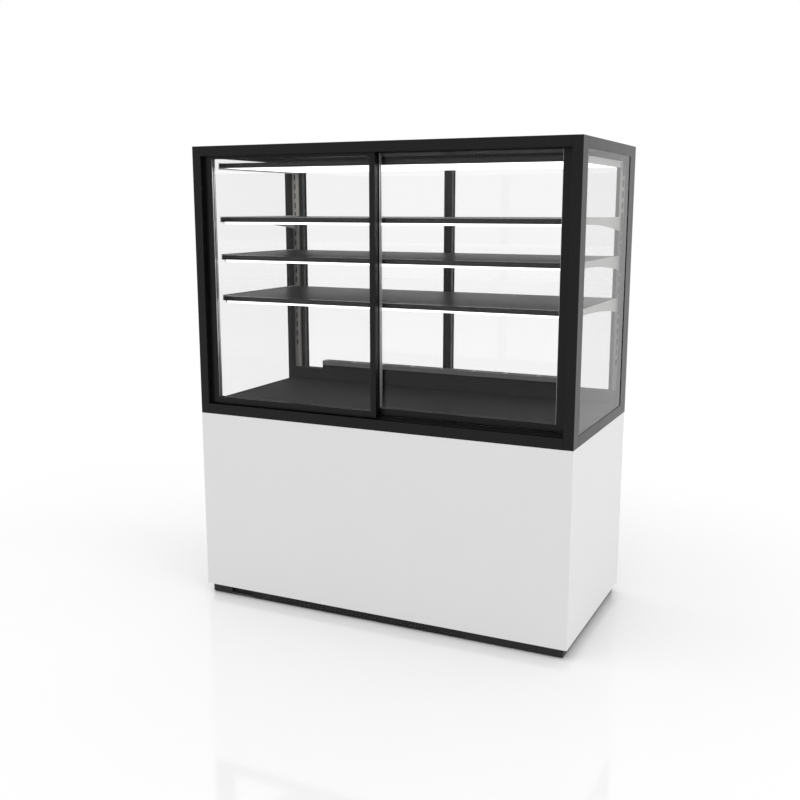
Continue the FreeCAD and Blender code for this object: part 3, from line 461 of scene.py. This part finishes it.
BLACK = (0.0032, 0.0032, 0.0032)
WHITE_COAT = PowderCoat("white_powder_coat", (0.65, 0.65, 0.65), roughness=0.42, gloss=0.5, mottle=0.012)
BLACK_STEEL = PowderCoat("black_powder_coat", (0.012, 0.012, 0.012), roughness=0.5, gloss=0.3)
CABIN_BLACK = PowderCoat("cabin_black_coat", (0.017, 0.017, 0.017), roughness=0.65, gloss=0.05, peel=0.0)
SHELF_BLACK = PowderCoat("shelf_black_coat", (0.015, 0.015, 0.015), roughness=0.45, gloss=0.18, peel=0.06)
FRAME_ACROSS = Anodised("frame_anodised_across", BLACK, grain=Axis.ACROSS)
FRAME_DEPTH = Anodised("frame_anodised_depth", BLACK, grain=Axis.DEPTH)
FRAME_UPWARD = Anodised("frame_anodised_upward", BLACK, grain=Axis.UPWARD)
BAR_BLACK = Anodised("bar_anodised", (0.01, 0.01, 0.011), grain=Axis.ACROSS, roughness=0.26)
GLASS = Pane("clear_glass", (0.988, 0.989, 0.988))
OUTER_GLASS = Pane("outer_glass", (0.986, 0.987, 0.986), coating=1.15)
INNER_GLASS = Pane("inner_glass", (0.99, 0.99, 0.99), coating=0.12)
STRIP_LIGHT = Lit("strip_light", (1.0, 0.985, 0.96))
CANOPY_LIGHT = Lit("canopy_light", (1.0, 1.0, 1.0), power=1.7, pitch=40 * MM, ripple=0.02)
UPRIGHT_GREY = PowderCoat("upright_grey_coat", (0.36, 0.345, 0.33), roughness=0.38, gloss=0.5)
BRACKET_GREY = PowderCoat("bracket_grey_coat", (0.4, 0.4, 0.39), roughness=0.4, gloss=0.5)
OUTLET_GREY = Moulded("outlet_grey_plastic", (0.19, 0.19, 0.19), roughness=0.45)
ROOF_BLACK = PowderCoat("roof_black_coat", (0.012, 0.012, 0.013), roughness=0.4, gloss=0.3)
RUBBER = Moulded("seal_rubber", (0.01, 0.01, 0.01), roughness=0.65, texture=0.15)
PILE = PileBrush("pile_brush", (0.02, 0.02, 0.021))
BLACK_PLASTIC = Moulded("black_plastic", (0.018, 0.018, 0.019))
SWITCH_PLASTIC = Moulded("switch_plastic", (0.012, 0.012, 0.012), roughness=0.22, texture=0.05)
CLEAR_PLASTIC = Moulded("clear_plastic", (0.8, 0.8, 0.78), roughness=0.3, texture=0.05)
BEAD = BareMetal("bead_aluminium", (0.6, 0.6, 0.6), roughness=0.34, spangle=1500.0, tarnish=0.12)
NYLON = Moulded("roller_nylon", (0.03, 0.03, 0.03), roughness=0.4, texture=0.1)
ZINC = BareMetal("zinc_sheet", (0.6, 0.62, 0.64), roughness=0.4)
STEEL = BareMetal("screw_steel", (0.62, 0.62, 0.63), roughness=0.28, spangle=1200.0, tarnish=0.15)
FIN_METAL = BareMetal("fin_aluminium", (0.78, 0.79, 0.8), roughness=0.36, spangle=300.0, tarnish=0.12)
COPPER = BareMetal("copper_tube", (0.85, 0.42, 0.26), roughness=0.3, spangle=200.0, tarnish=0.4)
ENAMEL = PowderCoat("compressor_enamel", (0.012, 0.012, 0.014), roughness=0.25, gloss=0.5, peel=0.2)
FOAM = Foam("insulating_foam", (0.74, 0.66, 0.45))
SMOKED = PowderCoat("smoked_window", (0.006, 0.006, 0.008), roughness=0.12, gloss=0.5, peel=0.0)


# ------------------------------------------------------------------- meshes

def add_block(shape: bmesh.types.BMesh, corner: Vector, opposite: Vector) -> list[bmesh.types.BMVert]:
    """Add a box between two opposite corners, in any order.

    Args:
        shape: the mesh it goes into.
        corner: one corner of the box.
        opposite: the corner across from it.

    Returns:
        The box's vertices.
    """
    size = [abs(length) for length in opposite - corner]
    place = Matrix.Translation((corner + opposite) / 2) @ Matrix.Diagonal((*size, 1.0))
    return bmesh.ops.create_cube(shape, size=1.0, matrix=place)["verts"]


def add_turned(shape: bmesh.types.BMesh, profile: list[tuple[float, float]], centre: Vector, axis: Axis,
               steps: int = 12) -> None:
    """Add a solid of revolution.

    Args:
        shape: the mesh it goes into.
        profile: radius and height pairs, from the axis out and back to it.
        centre: where height is zero.
        axis: the direction of the heights.
        steps: how many facets go round.
    """
    turn = Vector((0, 0, 1)).rotation_difference(axis.unit()).to_matrix()
    side = turn @ Vector((1, 0, 0))
    verts = [shape.verts.new(centre + side * radius + axis.unit() * height) for radius, height in profile]
    edges = [shape.edges.new(pair) for pair in zip(verts, verts[1:])]
    bmesh.ops.spin(shape, geom=verts + edges, cent=centre, axis=axis.unit(), angle=2 * math.pi,
                   steps=steps, use_merge=True)
    bmesh.ops.remove_doubles(shape, verts=shape.verts, dist=SAME_POINT)
    bmesh.ops.recalc_face_normals(shape, faces=shape.faces)


def add_ring(shape: bmesh.types.BMesh, low: Vector, high: Vector, width: float, through: Axis) -> None:
    """Add a rectangular ring, open along one axis.

    Args:
        shape: the mesh it goes into.
        low: one corner of the ring.
        high: the corner across from it.
        width: how wide its members are.
        through: the axis that its opening runs along.
    """
    verts = add_block(shape, low, high)
    faces = dict.fromkeys(face for vert in verts for face in vert.link_faces)
    ends = [face for face in faces if abs(face.normal[through.value]) > 0.9]
    bmesh.ops.inset_individual(shape, faces=ends, thickness=width)
    bmesh.ops.bridge_loops(shape, edges=[edge for face in ends for edge in face.edges])
    bmesh.ops.delete(shape, geom=ends, context="FACES_ONLY")


def round_edges(shape: bmesh.types.BMesh, width: float, segments: int = 2, least: float = 25.0) -> None:
    """Round every edge that turns by more than an angle.

    Args:
        shape: the mesh.
        width: how far the rounding reaches from each edge.
        segments: how many facets it has.
        least: the least turn, in degrees.
    """
    limit = math.radians(least)
    sharp = [edge for edge in shape.edges
             if len(edge.link_faces) == 2 and edge.calc_face_angle(0.0) > limit]
    bmesh.ops.bevel(shape, geom=sharp, offset=width, affect="EDGES", segments=segments, profile=0.5,
                    material=-1, clamp_overlap=True)


def smooth_curves(shape: bmesh.types.BMesh, most: float = 40.0) -> None:
    """Shade all faces smooth, and keep edges sharp that turn by more than an angle.

    Args:
        shape: the mesh.
        most: the greatest turn that is still smooth, in degrees.
    """
    for face in shape.faces:
        face.smooth = True
    for edge in shape.edges:
        edge.smooth = edge.calc_face_angle(0.0) < math.radians(most)


def make_piece(name: str, shape: bmesh.types.BMesh, finish: Finish, like: str) -> bpy.types.Object:
    """Turn a shape into a finished piece of the case.

    Args:
        name: the piece's name.
        shape: its mesh, in the case's frame; it is freed.
        finish: what it is finished in.
        like: the CAD node whose body it shares.

    Returns:
        The piece's object.
    """
    mesh = bpy.data.meshes.new(name)
    shape.to_mesh(mesh)
    shape.free()
    piece = bpy.data.objects.new(name, mesh)
    bpy.context.scene.collection.objects.link(piece)
    mesh.materials.append(finish.material())
    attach(piece, BODY_OF[like])
    LOG.info("piece %s: %d faces, rides on %s", name, len(mesh.polygons), BODY_OF[like])
    return piece


def dress(node: str, finish: Finish) -> None:
    """Give a CAD node that is shown as it is its real finish.

    Args:
        node: the CAD node.
        finish: what it is finished in.
    """
    materials = NODES[node].data.materials
    materials.clear()
    materials.append(finish.material())
    LOG.info("node %s: %s", node, finish.name)


def soften(node: str, finish: Finish, width: float = 0.7 * MM, segments: int = 2) -> bpy.types.Object:
    """Show a folded or extruded node with its edges rounded as the real ones are.

    Args:
        node: the CAD node that the piece stands for.
        finish: what it is finished in.
        width: how far the rounding reaches from each edge.
        segments: how many facets it has.

    Returns:
        The piece that replaces the node.
    """
    shape = bmesh.new()
    shape.from_mesh(NODES[node].data)
    bmesh.ops.remove_doubles(shape, verts=shape.verts, dist=WELD)
    bmesh.ops.dissolve_limit(shape, angle_limit=math.radians(1.0), verts=shape.verts, edges=shape.edges)
    round_edges(shape, width, segments)
    for face in shape.faces:
        face.smooth = False
    piece = make_piece(f"{node}_shell", shape, finish, node)
    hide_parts(node)
    return piece


def split_panes(node: str, axis: Axis) -> None:
    """Show the two panes of a double-glazed unit in their own glass.

    Args:
        node: the CAD node that holds both panes.
        axis: the direction through the glass.
    """
    low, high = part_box(node)
    middle = (low + high)[axis.value] / 2
    for name, finish, side in (("outer_pane", OUTER_GLASS, 1.0), ("inner_pane", INNER_GLASS, -1.0)):
        shape = bmesh.new()
        shape.from_mesh(NODES[node].data)
        kept = side * math.copysign(1.0, middle)
        unwanted = [vert for vert in shape.verts if (vert.co[axis.value] - middle) * kept < 0]
        bmesh.ops.delete(shape, geom=unwanted, context="VERTS")
        piece = make_piece(f"{node}_{name}", shape, finish, node)
        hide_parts(node)


# ------------------------------------------------------------- sub-assemblies

@dataclass
class Base:
    """White sheet-metal base on its black plinth."""

    fold: float = 1.1 * MM
    hole_pitch: float = 4.6 * MM
    hole_radius: float = 1.35 * MM
    screw_radius: float = 4.5 * MM
    screw_rise: float = 1.6 * MM
    screw_margin: float = 14 * MM
    screw_columns: int = 5
    # where the black sheet of painted shade in the skirt's open stretch sits
    strip_start: float = 66 * MM
    strip_setback: float = 12 * MM
    strip_lap: float = 6 * MM
    strip_sheet: float = 1.2 * MM

    def build(self) -> None:
        """Build and finish the whole base."""
        for node in ("front_panel", "left_side_panel", "right_side_panel"):
            soften(node, WHITE_COAT, self.fold, 3)
        dress("rear_panel", WHITE_COAT)
        dress("base_pan", ZINC)
        # black on the chassis frame: partly its own paint, partly a painted shade for the dark inside of
        # the plinth
        dress("chassis_frame", BLACK_STEEL)
        soften("plinth_skirt", BLACK_STEEL, 0.5 * MM)
        for node in ("front_left_foot", "front_right_foot", "rear_left_foot", "rear_right_foot"):
            dress(node, BLACK_PLASTIC)
        self.perforated_sheet()
        # black sheet in the skirt's open stretch: painted shade
        self.painted_shade_strip()
        self.rear_screws()

    def perforated_sheet(self) -> None:
        """Intake grille: rows of small holes punched through one sheet."""
        low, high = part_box("plinth_grille")
        half = self.hole_pitch / 2
        across = int((high.x - low.x) / self.hole_pitch)
        upward = int((high.z - low.z) / self.hole_pitch)
        start = Vector(((low.x + high.x - across * self.hole_pitch) / 2 + half, high.y, low.z + half))
        shape = bmesh.new()
        upright = Matrix.Rotation(math.radians(90), 4, "X")
        bmesh.ops.create_circle(shape, segments=8, radius=self.hole_radius, matrix=upright)
        outer = bmesh.ops.extrude_edge_only(shape, edges=shape.edges[:])["geom"]
        for vert in (item for item in outer if isinstance(item, bmesh.types.BMVert)):
            vert.co *= half / max(abs(vert.co.x), abs(vert.co.z))
        bmesh.ops.translate(shape, verts=shape.verts, vec=start)
        rows = ((across, Vector((self.hole_pitch, 0, 0))), (upward, Vector((0, 0, self.hole_pitch))))
        for count, step in rows:
            bmesh.ops.spin(shape, geom=shape.verts[:] + shape.edges[:] + shape.faces[:], cent=start,
                           axis=(0, 0, 1), dvec=step, angle=0.0, steps=count - 1, use_duplicate=True)
        bmesh.ops.remove_doubles(shape, verts=shape.verts, dist=2 * WELD)
        bmesh.ops.recalc_face_normals(shape, faces=shape.faces)
        bmesh.ops.solidify(shape, geom=shape.faces[:], thickness=high.y - low.y)
        bottom = min(vert.co.y for vert in shape.verts)
        bmesh.ops.translate(shape, verts=shape.verts, vec=(0, low.y - bottom, 0))
        piece = make_piece("plinth_grille_mesh", shape, BLACK_STEEL, "plinth_grille")
        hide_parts("plinth_grille")

    def painted_shade_strip(self) -> None:
        """Painted shade: a black sheet that closes the view through the open stretch of the skirt and
        stands in for the shade inside it.
        """
        low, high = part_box("plinth_skirt")
        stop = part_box("plinth_grille")[0].x + self.strip_lap
        face = low.y + self.strip_setback
        shape = bmesh.new()
        add_block(shape, Vector((low.x + self.strip_start, face, low.z)),
                  Vector((stop, face + self.strip_sheet, high.z)))
        make_piece("plinth_painted_shade_strip", shape, BLACK_STEEL, "plinth_skirt")

    def rear_screws(self) -> None:
        """Pan-head screws round the edge of the rear service panel."""
        low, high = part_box("rear_panel")
        margin = self.screw_margin
        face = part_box("control_panel")[0].y
        shape = bmesh.new()
        for column in range(self.screw_columns):
            x = low.x + margin + (high.x - low.x - 2 * margin) * column / (self.screw_columns - 1)
            for z in (low.z + margin, high.z - margin):
                self._screw(shape, Vector((x, face, z)))
        smooth_curves(shape)
        make_piece("rear_panel_screws", shape, STEEL, "rear_panel")

    def _screw(self, shape: bmesh.types.BMesh, place: Vector) -> None:
        """One pan head with a round recess.

        Args:
            shape: the mesh it goes into.
            place: the middle of the head's underside.
        """
        wide, rise = self.screw_radius, self.screw_rise
        profile = [(0.0, rise * 0.35), (wide * 0.4, rise * 0.35), (wide * 0.45, rise),
                   (wide * 0.8, rise * 0.8), (wide, rise * 0.3), (wide, 0.0)]
        add_turned(shape, profile, place, Axis.DEPTH)


@dataclass
class Machinery:
    """Refrigeration unit inside the base."""

    guard_wire: float = 1.2 * MM
    guard_rings: int = 6
    guard_setback: float = 44 * MM

    def build(self) -> None:
        """Finish the machinery and add the guard over the condenser fan."""
        dress("compressor", ENAMEL)
        dress("refrigerant_pipes", COPPER)
        for node in ("condenser_coil", "evaporator_coil"):
            dress(node, FIN_METAL)
        for node in ("condenser_fan_shroud", "evaporator_fan_housing"):
            dress(node, ZINC)
        for node in ("condenser_fan", "evaporator_fan"):
            dress(node, BLACK_PLASTIC)
        dress("deck_insulation", FOAM)
        self.fan_guard()

    def fan_guard(self) -> None:
        """Wire rings in front of the condenser fan, tied by the shroud's arms."""
        low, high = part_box("condenser_fan")
        centre = (low + high) / 2
        centre.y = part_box("condenser_fan_shroud")[0].y + self.guard_setback
        reach = (high.x - low.x) / 2
        shape = bmesh.new()
        for ring in range(1, self.guard_rings + 1):
            place = Matrix.Translation(centre + Vector((reach * ring / self.guard_rings, 0, 0)))
            circle = bmesh.ops.create_circle(
                shape, segments=6, radius=self.guard_wire, matrix=place)["verts"]
            edges = list(dict.fromkeys(edge for vert in circle for edge in vert.link_edges))
            bmesh.ops.spin(shape, geom=circle + edges, cent=centre, axis=Axis.DEPTH.unit(),
                           angle=2 * math.pi, steps=32, use_merge=True)
        bmesh.ops.recalc_face_normals(shape, faces=shape.faces)
        smooth_curves(shape, 70.0)
        make_piece("condenser_fan_guard", shape, STEEL, "condenser_fan_shroud")


@dataclass
class Cabin:
    """Black frame of the glazed cabin with its fixed glass."""

    edge: float = 0.9 * MM
    post_wall: float = 3.0 * MM
    post_width: float = 28.5 * MM
    post_depth: float = 50.0 * MM
    cap_thickness: float = 3.0 * MM
    cap_setback: float = 0.2 * MM
    pane_share: float = 0.34
    spacer: float = 6.0 * MM
    spacer_setback: float = 1 * MM

    def build(self) -> None:
        """Build the frame, its glass, the caps of the posts and the spacers between panes."""
        finishes = {"front_left_post": FRAME_UPWARD, "front_right_post": FRAME_UPWARD,
                    "front_sill": FRAME_ACROSS, "front_head_rail": FRAME_ACROSS,
                    "left_side_frame": FRAME_DEPTH, "right_side_frame": FRAME_DEPTH,
                    "rear_frame": FRAME_ACROSS, "roof_panel": ROOF_BLACK}
        for node, finish in finishes.items():
            soften(node, finish, self.edge)
        split_panes("rear_glass", Axis.DEPTH)
        for side in ("left", "right"):
            split_panes(f"{side}_side_glass", Axis.ACROSS)
            self.spacer_ring(f"{side}_side_glass", f"{side}_side_frame")
            self.post_cap(side)

    def post_cap(self, side: str) -> None:
        """Plastic plug that closes the top of one hollow post.

        Args:
            side: the post's side of the case, left or right.
        """
        node = f"front_{side}_post"
        low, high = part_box(node)
        outer, inward = (low.x, 1.0) if side == "left" else (high.x, -1.0)
        near = outer + inward * self.post_wall
        far = outer + inward * (self.post_width - self.post_wall)
        back = low.y + self.post_depth - self.post_wall
        shape = bmesh.new()
        add_block(shape, Vector((near, low.y + self.post_wall, high.z - self.cap_thickness)),
                  Vector((far, back, high.z - self.cap_setback)))
        round_edges(shape, 0.5 * MM)
        make_piece(f"{node}_cap", shape, BLACK_PLASTIC, node)

    def spacer_ring(self, glass: str, frame_node: str) -> None:
        """Black spacer that seals the gap between the two panes of a unit.

        Args:
            glass: the CAD node with the two panes.
            frame_node: the CAD node that holds them.
        """
        low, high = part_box(glass)
        inset = Vector(((high.x - low.x) * self.pane_share, self.spacer_setback, self.spacer_setback))
        shape = bmesh.new()
        add_ring(shape, low + inset, high - inset, self.spacer, Axis.ACROSS)
        bmesh.ops.recalc_face_normals(shape, faces=shape.faces)
        make_piece(f"{glass}_spacer", shape, RUBBER, frame_node)


@dataclass
class Door:
    """One sliding door: frame, pane, seals, brush and rollers."""

    side: str
    edge: float = 0.8 * MM
    seal_width: float = 1.0 * MM
    seal_depth: float = 1.2 * MM
    brush_width: float = 5.0 * MM
    brush_reach: float = 4.5 * MM
    brush_inset: float = 9 * MM
    brush_clearance: tuple[float, float] = (12 * MM, 14 * MM)
    bead_width: float = 1.2 * MM
    bead_setback: float = 2.0 * MM
    glass_bite: float = 8 * MM

    def build(self) -> None:
        """Build and finish the whole door."""
        soften(f"{self.side}_door_frame", FRAME_UPWARD, self.edge)
        dress(f"{self.side}_door_glass", GLASS)
        for letter in "ab":
            dress(f"{self.side}_door_roller_{letter}", NYLON)
        self.glass_seal()
        self.beads()
        self.brush()

    def beads(self) -> None:
        """Satin beads that hold the pane against the two stiles."""
        low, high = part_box(f"{self.side}_door_glass")
        front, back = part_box(f"{self.side}_door_frame")
        bottom, top = low.z + self.glass_bite, high.z - self.glass_bite
        shape = bmesh.new()
        for edge, width in ((low.x + self.glass_bite, self.bead_width),
                            (high.x - self.glass_bite, -self.bead_width)):
            for start, stop in ((front.y + self.bead_setback, low.y), (high.y, back.y - self.bead_setback)):
                add_block(shape, Vector((edge, start, bottom)), Vector((edge + width, stop, top)))
        round_edges(shape, 0.3 * MM)
        make_piece(f"{self.side}_door_beads", shape, BEAD, f"{self.side}_door_frame")

    def glass_seal(self) -> None:
        """Rubber channel round the pane, inside the frame's sight edge."""
        low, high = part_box(f"{self.side}_door_glass")
        bite = self.glass_bite
        shape = bmesh.new()
        for face, depth in ((low.y, -self.seal_depth), (high.y, self.seal_depth)):
            add_ring(shape, Vector((low.x + bite, face, low.z + bite)),
                     Vector((high.x - bite, face + depth, high.z - bite)), self.seal_width, Axis.DEPTH)
        bmesh.ops.recalc_face_normals(shape, faces=shape.faces)
        make_piece(f"{self.side}_door_glass_seal", shape, RUBBER, f"{self.side}_door_frame")

    def brush(self) -> None:
        """Pile strip on the meeting stile, towards the other door."""
        low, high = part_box(f"{self.side}_door_frame")
        towards_rear = self.side == "left"
        start = high.y if towards_rear else low.y
        reach = self.brush_reach if towards_rear else -self.brush_reach / 3
        middle = high.x - self.brush_inset if towards_rear else low.x + self.brush_inset
        half = self.brush_width / 2
        below, above = self.brush_clearance
        shape = bmesh.new()
        add_block(shape, Vector((middle - half, start, low.z + below)),
                  Vector((middle + half, start + reach, high.z - above)))
        round_edges(shape, 0.4 * MM)
        make_piece(f"{self.side}_door_brush", shape, PILE, f"{self.side}_door_frame")


@dataclass
class Shelving:
    """Slotted uprights, brackets, three shelves and the lit canopy."""

    edge: float = 0.6 * MM
    cap_length: float = 5.0 * MM
    cap_rise: float = 0.4 * MM
    # place and size of the black strip of painted shade behind each upright's slots
    shade_sheet_inset: float = 2 * MM
    shade_sheet_depth: float = 3.5 * MM
    shade_sheet_thickness: float = 1 * MM

    def build(self) -> None:
        """Build and finish everything that hangs on the uprights."""
        for side in ("left", "right"):
            dress(f"{side}_upright", UPRIGHT_GREY)
            # black strip behind the upright's slots: painted shade
            self.slot_shade_sheet(side)
        dress("shelf_brackets", BRACKET_GREY)
        for number in (1, 2, 3):
            soften(f"shelf_{number}_plate", SHELF_BLACK, self.edge)
            dress(f"shelf_{number}_front_bar", BAR_BLACK)
            dress(f"shelf_{number}_light", STRIP_LIGHT)
            self.light_caps(f"shelf_{number}_light")
        dress("canopy_housing", BAR_BLACK)
        dress("canopy_diffuser", CANOPY_LIGHT)

    def slot_shade_sheet(self, side: str) -> None:
        """Painted shade: a black strip inside an upright, behind its slots, that stands in for the shade
        inside the hollow upright.

        Args:
            side: the upright's side of the case, left or right.
        """
        low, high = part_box(f"{side}_upright")
        inset = self.shade_sheet_inset
        face = high.y - self.shade_sheet_depth
        shape = bmesh.new()
        add_block(shape, Vector((low.x + inset, face, low.z + inset)),
                  Vector((high.x - inset, face + self.shade_sheet_thickness, high.z - inset)))
        round_edges(shape, 0.2 * MM)
        make_piece(f"{side}_upright_backing", shape, RUBBER, f"{side}_upright")

    def light_caps(self, node: str) -> None:
        """End caps of one light strip.

        Args:
            node: the strip's CAD node.
        """
        low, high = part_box(node)
        shape = bmesh.new()
        for end, length in ((low.x, -self.cap_length), (high.x, self.cap_length)):
            add_block(shape, Vector((end, low.y - self.cap_rise, low.z)),
                      Vector((end + length, high.y + self.cap_rise, high.z)))
        round_edges(shape, 0.8 * MM)
        make_piece(f"{node}_caps", shape, CLEAR_PLASTIC, node)


@dataclass
class Deck:
    """Deck tray with the air duct and outlet at its rear."""

    edge: float = 0.8 * MM
    slot_half: float = 150 * MM
    slot_spacing: float = 340 * MM
    slot_start: float = 41.2 * MM
    slot_depth: float = 10 * MM
    slat_pitch: float = 6 * MM
    slat_half: float = 1 * MM
    slat_setback: float = 0.2 * MM

    def build(self) -> None:
        """Build and finish the deck."""
        self.slats()
        dress("deck_tray", CABIN_BLACK)
        soften("rear_air_duct", CABIN_BLACK, self.edge)
        dress("air_outlet_grille", OUTLET_GREY)

    def slats(self) -> None:
        """Short bars across the return air slots in the tray."""
        low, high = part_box("deck_tray")
        start, top = low.y + self.slot_start, high.z - self.slat_setback
        count = int(2 * self.slot_half / self.slat_pitch)
        shape = bmesh.new()
        for slot in (-1, 0, 1):
            for number in range(1, count):
                x = slot * self.slot_spacing - self.slot_half + number * self.slat_pitch
                add_block(shape, Vector((x - self.slat_half, start, low.z)),
                          Vector((x + self.slat_half, start + self.slot_depth, top)))
        make_piece("return_air_slats", shape, CABIN_BLACK, "deck_tray")


@dataclass
class Controls:
    """Rear controls: bezel, display window, rocker and cable inlet."""

    recess_start: float = 15 * MM
    recess_stop: float = 70 * MM
    window_gap: float = 0.6 * MM
    window_sheet: float = 0.8 * MM
    window_setback: float = 0.2 * MM

    def build(self) -> None:
        """Finish the controls and glaze the display window."""
        soften("control_panel", BLACK_PLASTIC)
        dress("light_switch", SWITCH_PLASTIC)
        dress("cable_gland", BLACK_PLASTIC)
        self.display_window()

    def display_window(self) -> None:
        """Blank smoked window set into the bezel's recess."""
        low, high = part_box("control_panel")
        inset, face = self.recess_start + self.window_gap, high.y - self.window_setback
        shape = bmesh.new()
        add_block(shape, Vector((low.x + inset, face - self.window_sheet, low.z + inset)),
                  Vector((low.x + self.recess_stop - self.window_gap, face, high.z - inset)))
        round_edges(shape, 0.3 * MM)
        make_piece("display_window", shape, SMOKED, "control_panel")


# -------------------------------------------------------------------- studio

@dataclass
class Studio:
    """Pale floor, soft light and the camera."""

    eye: tuple[float, float, float] = (1.2965, -2.8198, 1.2300)
    yaw: float = -25.49
    pitch: float = -10.86
    lens: float = 45.13
    sensor: float = 36.0
    far_limit: float = 200.0
    floor_size: float = 60.0
    floor_grey: float = 0.69
    floor_polish: float = 0.06
    lamp_distance: float = 5.0

    def build(self) -> None:
        """Set up everything that isn't the object."""
        self.camera()
        self.floor()
        self.world()
        self.softbox("overhead_softbox", (-0.1, -0.25, 0.95), 1.3, 70.0)
        self.softbox("right_softbox", (0.95, -0.1, 0.3), 0.9, 60.0)

    def camera(self) -> None:
        """Stand the camera in front, to the right and slightly above."""
        data = bpy.data.cameras.new("camera")
        data.sensor_width = self.sensor
        data.lens = self.lens
        data.clip_end = self.far_limit
        camera = bpy.data.objects.new("camera", data)
        yaw, pitch = math.radians(self.yaw), math.radians(self.pitch)
        ahead = Vector((math.sin(yaw) * math.cos(pitch), math.cos(yaw) * math.cos(pitch), math.sin(pitch)))
        camera.location = self.eye
        camera.rotation_mode = "QUATERNION"
        camera.rotation_quaternion = ahead.to_track_quat("-Z", "Y")
        bpy.context.scene.collection.objects.link(camera)
        bpy.context.scene.camera = camera

    def floor(self) -> None:
        """Wide pale floor with a soft reflection."""
        shape = bmesh.new()
        bmesh.ops.create_grid(shape, x_segments=1, y_segments=1, size=self.floor_size / 2)
        mesh = bpy.data.meshes.new("floor")
        shape.to_mesh(mesh)
        shape.free()
        floor = bpy.data.objects.new("floor", mesh)
        bpy.context.scene.collection.objects.link(floor)
        graph = Graph("floor_white")
        grey = self.floor_grey
        mesh.materials.append(graph.surface(graph.principled({
            "Base Color": (grey, grey, grey, 1.0), "Roughness": self.floor_polish,
            "Specular IOR Level": 0.5})))

    def world(self) -> None:
        """Even white surroundings."""
        world = bpy.data.worlds.new("white_room")
        bpy.context.scene.world = world
        world.use_nodes = True
        background = world.node_tree.nodes["Background"]
        background.inputs["Color"].default_value = (1.0, 1.0, 1.0, 1.0)
        background.inputs["Strength"].default_value = 1.0
        bpy.context.scene.view_settings.view_transform = "Standard"

    def softbox(self, name: str, towards: tuple[float, float, float], power: float,
                spread: float) -> None:
        """One very large and distant softbox.

        Args:
            name: its name.
            towards: the direction in which it hangs, seen from the case.
            power: what it gives a surface that faces it, in watts a square metre.
            spread: how wide it looks from the case, in degrees.
        """
        data = bpy.data.lights.new(name, "SUN")
        data.energy = power
        data.angle = math.radians(spread)
        lamp = bpy.data.objects.new(name, data)
        lamp.location = Vector(towards) * self.lamp_distance
        lamp.rotation_mode = "QUATERNION"
        lamp.rotation_quaternion = Vector(towards).to_track_quat("Z", "Y")
        bpy.context.scene.collection.objects.link(lamp)


def main() -> None:
    """Build the case around the frame."""
    logging.basicConfig(level=logging.INFO, format="%(name)s: %(message)s")
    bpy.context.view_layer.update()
    assemblies = [Base(), Machinery(), Cabin(), Door("left"), Door("right"), Shelving(), Deck(), Controls()]
    for assembly in assemblies:
        LOG.info("sub-assembly %s", type(assembly).__name__)
        assembly.build()
    Studio().build()


if __name__ == "__main__":
    main()
